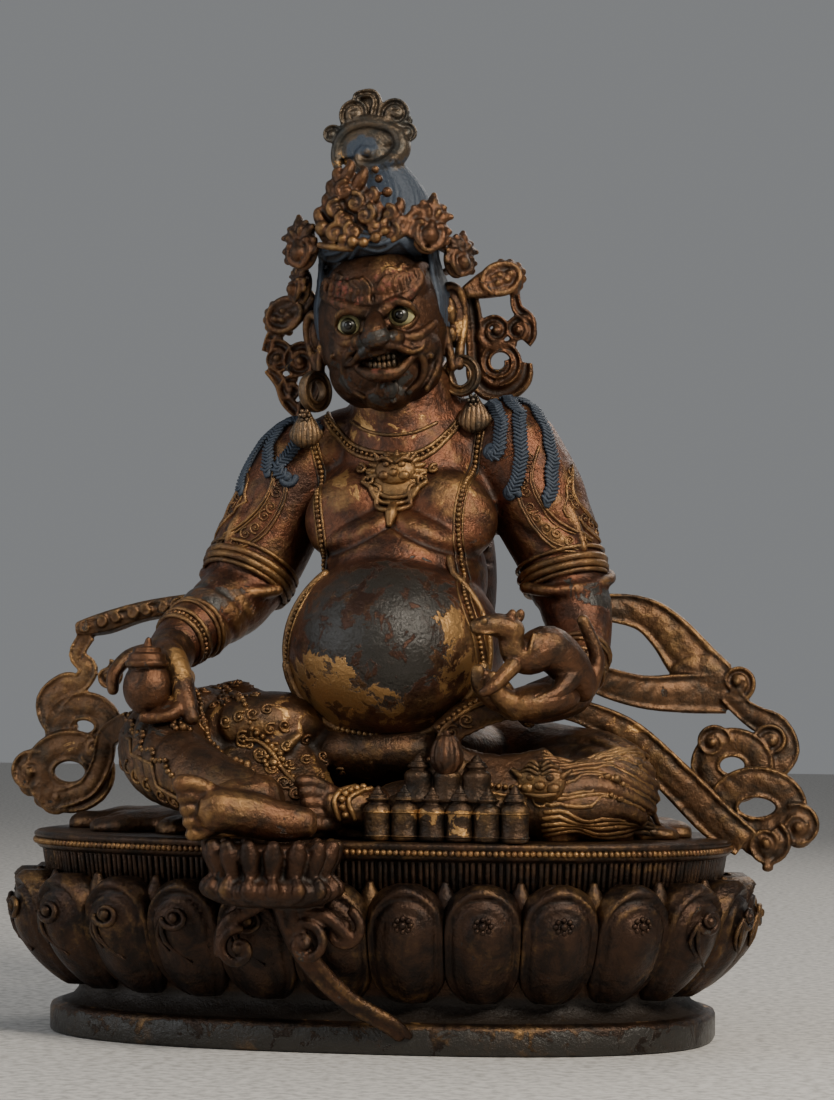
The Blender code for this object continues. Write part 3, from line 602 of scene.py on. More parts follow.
def aged_metal():
    """Node group: worn gilding on dark bronze, with lacquer, pigment, soot and grime where marked. The grime in the
    hollows is partly painted shade, the soot patches are painted shade in places, and pigment thinned in the grooves
    paints shade there.
    """
    found = bpy.data.node_groups.get("aged_metal")
    if found:
        return found
    tree = bpy.data.node_groups.new("aged_metal", "ShaderNodeTree")
    colours = bpy.context.scene.statue_colours
    for name in ("bronze", "gilding", "grime_and_shade", "lacquer", "pigment"):
        socket = tree.interface.new_socket(name=name.title(), in_out="INPUT", socket_type="NodeSocketColor")
        socket.default_value = (*getattr(colours, name), 1)
    for name in ("Gilt share", "Grime and shade share"):
        tree.interface.new_socket(name=name, in_out="INPUT", socket_type="NodeSocketFloat")
    for name, kind in (("Color", "Color"), ("Roughness", "Float"), ("Metallic", "Float"), ("Height", "Float")):
        tree.interface.new_socket(name=name, in_out="OUTPUT", socket_type="NodeSocket" + kind)
    start, end = tree.nodes.new("NodeGroupInput"), tree.nodes.new("NodeGroupOutput")
    places = tree.nodes.new("ShaderNodeTexCoord").outputs["Object"]

    def mark(name):
        node = tree.nodes.new("ShaderNodeAttribute")
        node.attribute_name = name
        return node

    def around(value, size):
        return combined(tree, "MULTIPLY", combined(tree, "SUBTRACT", value, 0.5), size)

    relief, soot = mark("relief").outputs["Fac"], mark("soot").outputs["Fac"]
    marks = tree.nodes.new("ShaderNodeSeparateColor")
    tree.links.new(mark("finish").outputs["Color"], marks.inputs[0])
    clouds = noise(tree, places, 42, 5, 0.6, 0.4)
    flakes = noise(tree, places, 120, 8, 0.68, 0.6)
    flecks = noise(tree, places, 300, 6, 0.7)
    grain = noise(tree, places, 1000, 3, 0.6)
    # Gilding rubbed soft over the high places, and flakes of it with sharp edges where it is marked
    wear = combined(tree, "MULTIPLY_ADD", relief, 0.34, start.outputs["Gilt share"])
    wear = combined(tree, "ADD", wear, around(clouds, 1.3))
    wear = combined(tree, "ADD", wear, around(flecks, 0.9))
    wear = combined(tree, "MULTIPLY_ADD", marks.outputs[0], 0.35, wear)
    rubbed = combined(tree, "MULTIPLY", mask_between(tree, wear, 0.0, 0.75), 0.8)
    flaked = combined(tree, "ADD", marks.outputs[0], around(flakes, 2.2))
    gilt = combined(tree, "MAXIMUM", rubbed, mask_between(tree, flaked, 0.42, 0.52))
    tone = blended(tree, mask_between(tree, flakes, 0.36, 0.62), (0.55, 0.60, 0.68), (1.45, 1.18, 1.0))
    mixed = tree.nodes.new("ShaderNodeMix")
    mixed.data_type = "RGBA"
    mixed.blend_type = "MULTIPLY"
    mixed.inputs["Factor"].default_value = 1.0
    tree.links.new(start.outputs["Bronze"], mixed.inputs[6])
    tree.links.new(tone, mixed.inputs[7])
    colour = blended(tree, gilt, mixed.outputs[2], start.outputs["Gilding"])
    # A dark glossy coat where soot is marked: real soot on some parts, painted shade on others, such as the hanging
    # knee.
    soot_and_shade_mask = mask_between(tree, combined(tree, "ADD", soot, around(flakes, 2.4)), 0.34, 0.44)
    soot_and_shade_mask = combined(tree, "MULTIPLY", soot_and_shade_mask, combined(tree, "SUBTRACT", 1.0, gilt))
    colour = blended(tree, soot_and_shade_mask, colour, (0.022, 0.019, 0.015))
    painted = mask_between(tree, combined(tree, "ADD", marks.outputs[1], around(flecks, 1.5)), 0.36, 0.62)
    colour = blended(tree, painted, colour, start.outputs["Lacquer"])
    # Pigment is thinned in the grooves and thickened on the ridges, so that the grooves show dark bronze: painted
    # shade between the strands, on top of the marked pigment.
    pigment_with_groove_shade = combined(tree, "MULTIPLY", marks.outputs[2], combined(tree, "MULTIPLY_ADD", relief, 0.7, 1.0))
    pigment_with_groove_shade_mask = mask_between(tree, combined(tree, "ADD", pigment_with_groove_shade, around(flecks, 1.3)), 0.30, 0.62)
    colour = blended(tree, pigment_with_groove_shade_mask, colour, start.outputs["Pigment"])
    # Grime and painted shade: darker where a place lies below its surroundings.
    hollow_grime_and_shade = combined(tree, "SUBTRACT", start.outputs["Grime and shade share"], relief)
    hollow_grime_and_shade = mask_between(tree, combined(tree, "ADD", hollow_grime_and_shade, around(flecks, 0.8)), 0.25, 1.15)
    colour = blended(tree, hollow_grime_and_shade, colour, start.outputs["Grime_And_Shade"])
    cover = combined(tree, "MAXIMUM", combined(tree, "MAXIMUM", painted, pigment_with_groove_shade_mask), hollow_grime_and_shade)
    rough = combined(tree, "MULTIPLY_ADD", gilt, -0.04, 0.38)
    rough = combined(tree, "MULTIPLY_ADD", cover, 0.16, rough)
    rough = combined(tree, "MULTIPLY_ADD", soot_and_shade_mask, -0.06, rough)
    rough = combined(tree, "ADD", rough, around(flecks, 0.35))
    metal = combined(tree, "MULTIPLY_ADD", cover, -0.6, 0.82)
    metal = combined(tree, "MULTIPLY_ADD", soot_and_shade_mask, -0.6, metal)
    height = combined(tree, "MULTIPLY_ADD", flecks, 0.8, combined(tree, "MULTIPLY", grain, 0.35))
    height = combined(tree, "MULTIPLY_ADD", gilt, 0.10, height)
    height = combined(tree, "MULTIPLY_ADD", soot_and_shade_mask, -0.25, height)
    for value, name in ((colour, "Color"), (rough, "Roughness"), (metal, "Metallic"), (height, "Height")):
        tree.links.new(value, end.inputs[name])
    return tree


# Of each metal: how much gilding, and grime with painted shade in the hollows, it shows, and its own bronze where that
# differs
METALS = {
    "pedestal_dark_bronze": (-0.35, 0.1, (0.045, 0.030, 0.021)),
    "petal_dark_bronze": (-0.28, 0.0, (0.036, 0.024, 0.018)),
    "bead_rim_gilt": (-0.05, 0.1, None),
    "stamen_bronze": (-0.4, 0.1, (0.042, 0.029, 0.021)),
    "footrest_bronze": (-0.2, 0.1, (0.05, 0.03, 0.02)),
    "figure_gilt_bronze": (-0.05, -0.1, (0.095, 0.045, 0.027)),
    "face_red_bronze": (-0.04, 0.02, (0.060, 0.032, 0.018)),
    "worn_teeth": (-0.3, 0.1, (0.085, 0.062, 0.038)),
    "hair_pigment": (-0.3, 0.62, None),
    "finial_grey_bronze": (-0.35, 0.0, (0.085, 0.075, 0.058)),
    "crown_gilding": (0.0, 0.22, None),
    "earring_bronze": (-0.2, 0.1, (0.115, 0.088, 0.06)),
    "necklace_bronze": (0.0, 0.1, (0.075, 0.048, 0.03)),
    "sleeve_gilding": (-0.08, 0.1, (0.1, 0.06, 0.035)),
    "skirt_bronze": (-0.12, 0.0, (0.075, 0.046, 0.028)),
    "skirt_gilding": (-0.06, 0.05, (0.09, 0.055, 0.03)),
    "rubbed_gilding": (0.0, 0.0, None),
    "ornament_gilding": (0.12, 0.0, None),
    "citron_bronze": (-0.2, 0.1, None),
    "mongoose_gilding": (-0.02, 0.05, None),
    "scarf_gilding": (0.0, 0.05, (0.088, 0.056, 0.033)),
    "vase_dark_bronze": (-0.3, 0.0, (0.045, 0.032, 0.022)),
}


def statue_metal(name):
    """One of the statue's metals, made once."""
    found = bpy.data.materials.get(name)
    if found:
        return found
    gilt, hollow_grime_and_shade, bronze = METALS[name]
    colours = bpy.context.scene.statue_colours
    material = bpy.data.materials.new(name)
    material.use_nodes = True
    tree = material.node_tree
    shader = tree.nodes["Principled BSDF"]
    group = tree.nodes.new("ShaderNodeGroup")
    group.node_tree = aged_metal()
    for socket in ("Bronze", "Gilding", "Grime_And_Shade", "Lacquer", "Pigment"):
        group.inputs[socket].default_value = (*getattr(colours, socket.lower()), 1)
    if bronze is not None:
        group.inputs["Bronze"].default_value = (*bronze, 1)
    group.inputs["Gilt share"].default_value = gilt
    group.inputs["Grime and shade share"].default_value = hollow_grime_and_shade
    rise = tree.nodes.new("ShaderNodeBump")
    rise.inputs["Strength"].default_value = 0.75
    rise.inputs["Distance"].default_value = 0.0008
    tree.links.new(group.outputs["Color"], shader.inputs["Base Color"])
    tree.links.new(group.outputs["Roughness"], shader.inputs["Roughness"])
    tree.links.new(group.outputs["Metallic"], shader.inputs["Metallic"])
    tree.links.new(group.outputs["Height"], rise.inputs["Height"])
    tree.links.new(rise.outputs["Normal"], shader.inputs["Normal"])
    return material


def plain_paint(name, colour, roughness):
    found = bpy.data.materials.get(name)
    if found:
        return found
    material = bpy.data.materials.new(name)
    material.use_nodes = True
    tree = material.node_tree
    shader = tree.nodes["Principled BSDF"]
    places = tree.nodes.new("ShaderNodeTexCoord").outputs["Object"]
    stains = mask_between(tree, noise(tree, places, 300, 4), 0.35, 0.75)
    pigment_with_groove_shade_mask = blended(tree, stains, tuple(colour), tuple(c * 0.55 for c in colour))
    tree.links.new(pigment_with_groove_shade_mask, shader.inputs["Base Color"])
    shader.inputs["Roughness"].default_value = roughness
    return material


# The pedestal

class PedestalOutline:
    """The rim's superellipse, read by share of its length from the +X side, anticlockwise."""

    def __init__(self):
        sizes = bpy.context.scene.statue_sizes
        half_x, half_y = sizes.base_width / 2 / unit(), sizes.base_depth / 2 / unit()
        angles = np.linspace(0, 2 * np.pi, 4321)
        c, s = np.cos(angles), np.sin(angles)
        self.x = half_x * np.sign(c) * np.abs(c) ** (2 / 2.5)
        self.y = half_y * np.sign(s) * np.abs(s) ** (2 / 2.5)
        steps = np.hypot(np.diff(self.x), np.diff(self.y))
        self.share = np.concatenate([[0], np.cumsum(steps)]) / steps.sum()
        self.length = steps.sum()

    def at(self, share, offset, height):
        """A point at a share of the length, moved out by an offset, at a height on the grid."""
        share %= 1.0
        x, y = np.interp(share, self.share, self.x), np.interp(share, self.share, self.y)
        ahead, behind = (share + 0.002) % 1.0, (share - 0.002) % 1.0
        tx = np.interp(ahead, self.share, self.x) - np.interp(behind, self.share, self.x)
        ty = np.interp(ahead, self.share, self.y) - np.interp(behind, self.share, self.y)
        size = hypot(tx, ty)
        return Vector((x + ty / size * offset, y - tx / size * offset, height))


PETAL_PHASE = 0.175
PETAL_FOOT, PETAL_RISE = -47.5, 35.5


def petal_face(height):
    """How far out a petal's middle line stands at a height."""
    v = (height - PETAL_FOOT) / PETAL_RISE
    base = -13.5 + 16.0 * sin(min(1.0, v * 1.25) * pi / 2) ** 0.85
    return base, 8.4 * (0.75 + 0.35 * sin(pi * v ** 0.8))


def petal(bm, rim, middle, width):
    """One lotus petal: a swollen leaf with a raised double lip."""
    rows, columns = 30, 22
    rings = []
    for i in range(rows + 1):
        v = i / rows
        height = PETAL_FOOT + PETAL_RISE * v
        side = sqrt(max(0.0, 1 - max(0.0, (v - 0.62) / 0.39) ** 3.1))
        side *= 1.04 * sqrt(1 - (1 - v / 0.3) ** 2 * 0.8) if v < 0.3 else 1.04
        base, fullness = petal_face(height)
        front = []
        for k in range(columns + 1):
            u = k / columns * 2 - 1
            swell = fullness * sqrt(max(0.0, 1 - u * u * 0.92))
            edge = max(abs(u), (v - 0.55) / 0.45 if v > 0.55 else 0)
            lip = (abs(u) ** 2.6 + max(0.0, (v - 0.50) / 0.48) ** 2.6) ** (1 / 2.6)
            swell += 2.1 * exp(-((lip - 0.92) / 0.085) ** 2) + 1.1 * exp(-((lip - 0.68) / 0.06) ** 2)
            swell -= 1.0 * exp(-((lip - 0.80) / 0.045) ** 2)
            swell += 1.6 * max(0.0, 1 - (lip / 0.62) ** 2)
            swell -= 2.2 * max(0.0, edge - 0.97)
            front.append(rim.at(middle + u * width * side / 2, base + swell - 5.0, height))
        back = [rim.at(middle + u * width * side / 2, base - 9.0, height) for u in (0.8, 0, -0.8)]
        rings.append(front + back)
    skin(bm, rings)


def petal_boss(bm, rim, middle, width, hand, scrolled):
    """The scroll on a petal's face, with tendrils that trail down from it."""
    def at(across, height, lift=0.2):
        base, fullness = petal_face(height)
        u = across / 9.5
        return rim.at(middle + u * width / 2, base + fullness * sqrt(1 - u * u * 0.92) - 3.5 + lift, height)

    if not scrolled:
        for a in round_angles(8):
            blob(bm, at(1.9 * cos(a), -23.5 + 1.9 * sin(a), -0.5), (0.85, 0.85, 0.85), detail=2)
        blob(bm, at(0, -23.5, -0.4), (1.2, 1.2, 1.2), detail=2)
        return
    curl_line = []
    for k in range(17):
        a, r = radians(200) + hand * 2 * pi * 1.4 * k / 16, 3.6 * (1 - 0.8 * k / 16)
        curl_line.append((*at(r * cos(a), -23.0 + r * sin(a)), 1.05 - 0.35 * k / 16))
    limb(bm, curl_line, 8, steps=1)
    blob(bm, at(0, -23.0, 0.1), (1.7, 1.7, 1.7), detail=2)
    for bend, drop in ((1.2, 12.5), (-1.0, 9)):
        tail = [(*at(hand * -3.4, -23.6), 0.9), (*at(hand * -4.0 + bend, -24 - drop * 0.5), 0.8),
                (*at(bend * 2.4, -24 - drop), 0.45)]
        limb(bm, tail, 6, steps=3)


class BuildPedestal(bpy.types.Operator):
    """Builds the lotus pedestal, with its petals, stamens, beaded rim and foot"""
    bl_idname = "jambhala.pedestal"
    bl_label = "Pedestal"

    def execute(self, context):
        sizes = context.scene.statue_sizes
        rim = PedestalOutline()
        bm = bmesh.new()
        profile = [(-62.5, -8.5), (-62.2, -6.8), (-61.5, -6.5), (-55.2, -6.5), (-54.0, -7.0), (-53.4, -8.6),
                   (-53.0, -10.5), (-51.5, -13.5), (-49.5, -15.2), (-47, -15.8), (-43, -13.5), (-30, -9.0),
                   (-14, -7.0), (-12.3, -5.8), (-6.4, -4.8), (-5.9, -3.6), (-5.4, -2.4), (-4.6, -1.6),
                   (-3.4, -1.4), (-2.3, -1.5), (-1.5, -0.6), (-0.7, -0.7), (-0.1, -1.6), (0.0, -3.2)]
        count = 240
        shares = [i / count for i in range(count)]
        rings = [[rim.at(s, offset, height) for s in shares] for height, offset in profile]
        skin(bm, rings)
        # The soot patch darkens the foot band.
        cast("pedestal_core", bm, "pedestal_dark_bronze", "pedestal",
             [("gilt", (0, 0, -50.5), (300, 300, 3.4), 0.5), ("soot", (0, 0, -59.5), (300, 300, 6), 0.7)],
             replaces=("lotus_pedestal",))

        bm = bmesh.new()
        width = 1 / sizes.petal_count
        for k in range(sizes.petal_count):
            middle = (k + PETAL_PHASE) * width
            petal(bm, rim, middle, width)
            hand = 1 if sin(2 * pi * middle) < 0.2 else -1
            petal_boss(bm, rim, middle, width, hand, scrolled=not 0.74 < middle < 0.93)
            tip = [(*rim.at(middle + width / 2, -5.5, -24), 3.2), (*rim.at(middle + width / 2, -3.2, -17), 3.4),
                   (*rim.at(middle + width / 2, -2.8, -12.6), 1.4)]
            limb(bm, tip, 8, steps=4)
        cast("lotus_petals", bm, "petal_dark_bronze", "pedestal")

        bm = bmesh.new()
        beads = sizes.rim_bead_count
        for k in range(beads):
            bead(bm, rim.at(k / beads, -1.2, -3.1), 1.04)
        cast("rim_beads", bm, "bead_rim_gilt", "pedestal")

        bm = bmesh.new()
        random.seed(4)
        stamens = 300
        for k in range(stamens):
            share = (k + random.uniform(-0.15, 0.15)) / stamens
            stem = [(*rim.at(share, -5.4, -13.8), 0.8), (*rim.at(share, -4.6, -9.5), 0.84),
                    (*rim.at(share, -4.0, -5.6), 0.9)]
            limb(bm, stem, 5, steps=1)
        cast("stamens", bm, "stamen_bronze", "pedestal")
        return {"FINISHED"}


class BuildFootrest(bpy.types.Operator):
    """Builds the small lotus under the hanging foot, on its stem with curled leaves"""
    bl_idname = "jambhala.footrest"
    bl_label = "Footrest lotus"

    def execute(self, context):
        bm = bmesh.new()
        cx, cy = -16, -86.5
        wide, deep = 19, 15
        rings = []
        profile = [(0.45, -18.6), (0.8, -17.6), (1.0, -15.6), (1.04, -13.6), (0.98, -11.6), (0.82, -9.8),
                   (0.76, -8), (0.8, -4), (0.88, -1.6), (0.8, -0.6)]
        for size, height in profile:
            verts = []
            for k in range(48):
                a = 2 * pi * k / 48
                rough = 1 + 0.05 * sin(k * 2.7) * (height < -9)
                verts.append(Vector((cx + wide * size * rough * cos(a), cy + deep * size * rough * sin(a),
                                     height)))
            rings.append(verts)
        skin(bm, rings)
        petals = 16
        for k in range(petals):
            a = 2 * pi * (k + 0.5) / petals

            def at(size, height, a=a):
                return (cx + wide * size * cos(a), cy + deep * size * sin(a), height)

            limb(bm, [(*at(0.80, -10.5), 2.0), (*at(0.86, -6.5), 2.7), (*at(0.93, -3), 3.0), (*at(0.99, -0.9), 2.2)],
                 10)
            limb(bm, [(*at(0.9, -14.5), 2.4), (*at(1.02, -13), 2.2), (*at(0.97, -10.8), 1.6)], 8)
        stem = [(-14, -84, -17, 3.0), (-11, -84, -26, 2.6), (-6, -80, -36, 2.4), (3, -74, -46, 2.4),
                (14, -69, -53, 2.2), (18, -66, -57, 1.6)]
        limb(bm, stem, 10)
        limb(bm, [(x + 3, y - 0.5, z + 0.5, r * 0.8) for x, y, z, r in stem], 8)
        for centre, hand, start in (((-26, -85, -31), 1, 90), ((-6, -86, -29), -1, 90), ((4, -82, -25), -1, 60)):
            curl(bm, centre, 6.0, 1.3, start, hand, 1.7, 1.1, 1.7, 1.9)
        limb(bm, [(-20, -83, -18, 2.2), (-30, -84, -24, 2.4), (-32, -84, -32, 1.9)], 8)
        limb(bm, [(-10, -84, -20, 2.2), (-1, -84, -21, 2.6), (6, -82, -27, 2.0)], 8)
        cast("footrest_lotus", bm, "footrest_bronze", "pedestal", fused=0.55)
        return {"FINISHED"}


# The body

def waves(places, direction, pitch, depth, centre, reach, bend=0.0):
    """Height of soft folds that run across a direction, inside an ellipsoid."""
    away = np.clip(1.5 * (1 - (((places - np.array(centre)) / np.array(reach)) ** 2).sum(1)), 0, 1)
    along = places @ np.array(direction) + bend * np.sin(places[:, 0] * 0.12 + places[:, 2] * 0.1)
    phase = 2 * np.pi * along / pitch
    return depth * away * (np.sin(phase) + 0.35 * np.sin(2 * phase + 1.0)) * 0.75


def torso(bm):
    blob(bm, (6, 14, 20), (40, 34, 24), detail=4)
    blob(bm, (7, -20, 57), (33.5, 41, 31), detail=4)
    blob(bm, (8, -8, 80), (25.5, 30.5, 24), detail=4)
    blob(bm, (7, 2, 104), (31, 25, 20), detail=4)
    blob(bm, (7, 15, 80), (26, 21, 46), detail=4)
    blob(bm, (6, 4, 120), (31, 16, 13))
    limb(bm, [(7, 6, 119, 27), (6, 3, 129, 22.5), (6, 0, 138, 17.5)], 20)
    blob(bm, (21, 4, 124.5), (21, 13.5, 14), (0, 12, 0), detail=4)
    blob(bm, (-12, 3, 123), (20, 13, 12.5), (0, -12, 0), detail=4)
    for s in (-1, 1):
        blob(bm, (7 + s * 13.5, -13.6, 99.5), (17.5, 11.6, 14.5), (0, s * 20, 0), detail=4)
    blob(bm, (7, -14, 87), (25, 17.5, 17), detail=4)
    limb(bm, [(6, 0, 114, 18), (5, -3, 126, 15), (3, -5, 136, 14)], 20)


def arms(bm):
    limb(bm, [(-28, 5, 117.5, 15), (-35, 3, 104, 15.5), (-42, 0, 87, 15), (-45, -4, 79, 13.5)], 24)
    limb(bm, [(-44, -3, 80, 11.5), (-47, -8, 74, 12), (-51, -16, 69, 11), (-57, -27, 62, 9.3),
              (-61, -35, 57, 7.3)], 20)
    limb(bm, [(38, 5, 121, 16.5), (47, 4, 106, 16), (54, 3, 90, 14), (57, 1, 80, 12.6)], 24)
    limb(bm, [(58, 1, 80, 11), (61, -2, 71, 11.3), (63, -6, 63, 9.8), (64, -14, 54, 8.4), (63, -24, 48, 7.2)], 20)


def sleeve_folds(bm):
    """Soft folds and hems of the sleeves."""
    for hem in ([(-33, -11, 76), (-40, -17, 75), (-50, -16, 77), (-58, -6, 81), (-58, 4, 84)],
                [(46, -9, 77), (54, -13, 76), (64, -10, 77), (71, -1, 80), (70, 7, 82)]):
        limb(bm, [(*p, 2.0) for p in hem], 10)
    for fold in (
        [(-34, -6, 118, 1.6), (-42, -8, 107, 2.0), (-48, -12, 94, 1.8), (-50, -14, 84, 1.4)],
        [(52, -6, 112, 1.6), (59, -7, 101, 2.0), (64, -8, 90, 1.6)],
    ):
        limb(bm, fold, 10)


class BuildBody(bpy.types.Operator):
    """Builds the bare torso with its full belly, and the arms in their sleeves"""
    bl_idname = "jambhala.body"
    bl_label = "Body"

    def execute(self, context):
        bm = bmesh.new()
        torso(bm)
        arms(bm)
        sleeve_folds(bm)
        blob(bm, (31.2, -25.6, 94.5), (1.4, 1.2, 1.4), detail=2)

        def carve(places, normals):
            height = waves(places, (0.5, 0, -0.85), 11, 0.4, (-44, -4, 92), (16, 22, 26), 3)
            height += waves(places, (-0.5, 0, -0.85), 11, 0.4, (54, -2, 95), (17, 22, 26), 3)
            height += waves(places, (-0.4, -0.5, -0.7), 6, 0.55, (-53, -20, 67), (14, 18, 14), 2)
            front = np.clip(-normals[:, 1] * 2, 0, 1)
            across = np.abs(places[:, 0] - 7)
            line_of_chest = 96.5 - 13 * (1 - np.exp(-across / 16))
            fading = np.clip((30 - across) / 6, 0, 1)
            crease = np.exp(-((places[:, 2] - line_of_chest) / 1.3) ** 2) * fading
            swell = np.exp(-((places[:, 2] - line_of_chest - 4.5) / 3.8) ** 2) * fading
            middle = np.exp(-((places[:, 0] - 7) / 2.0) ** 2) * np.exp(-((places[:, 2] - 100) / 8) ** 2)
            return height + front * (1.5 * swell - 1.7 * crease - 0.6 * middle)

        body = piece("body", bm, fused=0.92, carve=carve)
        # The soot patches darken the belly, and the forearms under the cuffs.
        patches = [
            ("soot", (8, -58, 64), (33, 36, 32), 0.55), ("soot", (64, 0, 74), (16, 18, 12), 0.35),
            ("soot", (-52, -16, 72), (16, 18, 12), 0.4),
            ("gilt", (-8, -50, 44), (22, 28, 16), 0.52), ("gilt", (31, -48, 56), (11, 24, 20), 0.44),
            ("gilt", (16, -52, 39), (17, 20, 9), 0.34), ("gilt", (26, -20, 108), (10, 14, 16), 0.36),
            ("gilt", (-10, -20, 108), (10, 14, 10), 0.22), ("gilt", (2, -14, 128), (22, 18, 9), 0.36),
            ("gilt", (64, -12, 56), (12, 20, 12), 0.25), ("gilt", (54, -6, 100), (14, 16, 14), 0.15),
            ("lacquer", (8, -38, 86), (26, 24, 9), 0.22), ("lacquer", (6, -20, 112), (22, 18, 14), 0.2),
            ("lacquer", (-14, -40, 74), (14, 24, 12), 0.2), ("lacquer", (30, -36, 76), (12, 22, 12), 0.2),
        ]
        finish_piece(body, statue_metal("figure_gilt_bronze"), patches, replaces=("figure",))
        return {"FINISHED"}


# The head

EYE_PLACES = ((-8.9, 3.1), (6.9, 4.3))


def skull(bm, frame_of=HEAD):
    blob(bm, (-2.2, 0.5, 3), (20.6, 21.5, 27), frame_of=frame_of, detail=4)
    blob(bm, (-1.6, -5.0, -11.0), (18.0, 16.2, 13.4), frame_of=frame_of, detail=4)
    blob(bm, (-0.4, -12.6, -18.6), (8.6, 7.4, 6.0), frame_of=frame_of)
    blob(bm, (-1.4, -7.5, 14.4), (16.8, 12.8, 12), frame_of=frame_of, detail=4)
    for s in (-1, 1):
        blob(bm, (s * 9.6 - 0.8, -11.6, -5.0), (8.6, 9.4, 7.6), frame_of=frame_of)


def tree_from(*shapes):
    """A search tree of shapes drawn on their own grid."""
    bm = bmesh.new()
    for shape in shapes:
        shape(bm, Matrix())
    tree = BVHTree.FromBMesh(bm)
    bm.free()
    return tree


def on_front(bm, tree, points, lift=0.0, sides=8, steps=4):
    """A raised line (x, z, radius) on the front of the face or the hair."""
    laid = drape(tree, smooth_path(points, steps), lift)
    if len(laid) > 2:
        limb(bm, from_head(laid), sides, steps=1)


def line(bm, points, sides=8, steps=4):
    """A raised line on the head's own grid."""
    limb(bm, from_head(points), sides, steps)


def features(bm, tree):
    line(bm, [(-0.4, -19.4, 8, 2.0), (-0.3, -22.8, 4.6, 2.5), (-0.1, -26.0, 0.4, 3.8), (0, -27.0, -2.2, 4.2)], 14)
    blob(bm, (0, -27.4, -2.2), (4.6, 3.5, 3.5), frame_of=HEAD)
    for s in (-1, 1):
        blob(bm, (s * 5.2, -23.6, -2.8), (3.2, 3.4, 2.8), frame_of=HEAD)
        line(bm, [(s * 5.4, -22.6, -0.6, 1.0), (s * 8.6, -21.0, -2.6, 1.6), (s * 12.4, -18.4, -2.0, 1.9),
                  (s * 16.4, -13.2, 1.4, 1.4)], 10)
        line(bm, [(s * 6.6, -22.4, -4.0, 1.2), (s * 9.8, -20.4, -6.0, 1.5), (s * 12.6, -17.6, -10.0, 1.5),
                  (s * 11.6, -16.8, -15.4, 1.3), (s * 7.4, -17.6, -19.4, 1.1)])
        line(bm, [(s * 16.4, -11.4, -4, 1.3), (s * 16.2, -11.0, -11, 1.5), (s * 12.2, -13.0, -18.5, 1.2)])
    # The moustache
    line(bm, [(2.0, -26.0, -5.2, 1.3), (5.6, -25.0, -5.4, 1.4), (9.6, -22.0, -7.2, 1.1), (12.8, -19.6, -6.4, 0.8),
              (13.8, -18.6, -4.2, 0.5)])
    line(bm, [(-1.8, -26.0, -5.4, 1.3), (-5.0, -24.8, -6.2, 1.4), (-8.4, -21.6, -8.6, 1.1), (-11.2, -19.4, -9.2, 0.8),
              (-12.6, -18.4, -7.6, 0.5)])
    for x, z in EYE_PLACES:
        line(bm, [(x - 5.2, -16.4, z - 0.4, 0.9), (x - 3.5, -20.2, z + 2.9, 1.3), (x, -21.4, z + 4.2, 1.5),
                  (x + 3.6, -20.2, z + 2.8, 1.3), (x + 5.2, -16.8, z - 0.3, 0.9)])
        line(bm, [(x - 5.0, -16.6, z - 0.8, 0.8), (x - 3.0, -19.6, z - 3.2, 1.0), (x, -20.4, z - 4.1, 1.1),
                  (x + 3.0, -19.8, z - 3.1, 1.0), (x + 5.0, -16.8, z - 0.8, 0.8)])
        line(bm, [(x - 4.8, -17.0, z - 3.8, 0.8), (x - 1.6, -19.6, z - 6.0, 1.1), (x + 2.4, -19.6, z - 5.8, 1.1),
                  (x + 5.4, -17.4, z - 3.6, 0.8)])


LEFT_BROW = ((-1.4, 6.4), (-5.0, 7.2), (-9.1, 9.0), (-13.4, 11.4), (-17.0, 14.0))
RIGHT_BROW = ((1.0, 6.3), (3.4, 7.5), (7.2, 9.6), (10.4, 12.2), (12.8, 15.6), (12.2, 18.4))


def flame_brows(bm, tree):
    """The brows: heavy lower edges from which strands flare up over the forehead."""
    for brow, lean in ((LEFT_BROW, -1), (RIGHT_BROW, 1)):
        edge = smooth_path([(x, z, 2.0) for x, z in brow], 4)
        lid = [(x, z - 0.5, r + 0.4 - 1.2 * (i / len(edge)) ** 2) for i, (x, z, r) in enumerate(edge)]
        on_front(bm, tree, lid, 0.9, 10, 1)
        for k, (x, z, _) in enumerate(edge[::2]):
            t = k / (len(edge) / 2)
            high = 10.5 - 5.0 * t
            on_front(bm, tree, [(x, z + 0.6, 1.25), (x + lean * 1.0, z + high * 0.35, 1.25),
                                (x + lean * 0.4, z + high * 0.7, 1.05), (x + lean * 2.4, z + high, 0.5)], 0.6, 8, 3)
    for x, z, size, hand in ((4.6, 17.6, 2.0, 1), (8.8, 19.4, 1.8, -1), (-6.0, 16.0, 1.6, -1), (-12.6, 18.2, 1.5, 1)):
        stations = flat_spiral(x, z, size, 1.2, 0, hand, 0.75, 0.5)
        on_front(bm, tree, stations, 0.35, 6, 1)
    for x, lean in ((-1.6, -0.8), (0.2, 0.1), (2.0, 1.0)):
        on_front(bm, tree, [(x, 7.5, 0.9), (x + lean, 11, 0.8), (x + lean * 0.6, 14.5, 0.4)], 0.3, 8, 3)


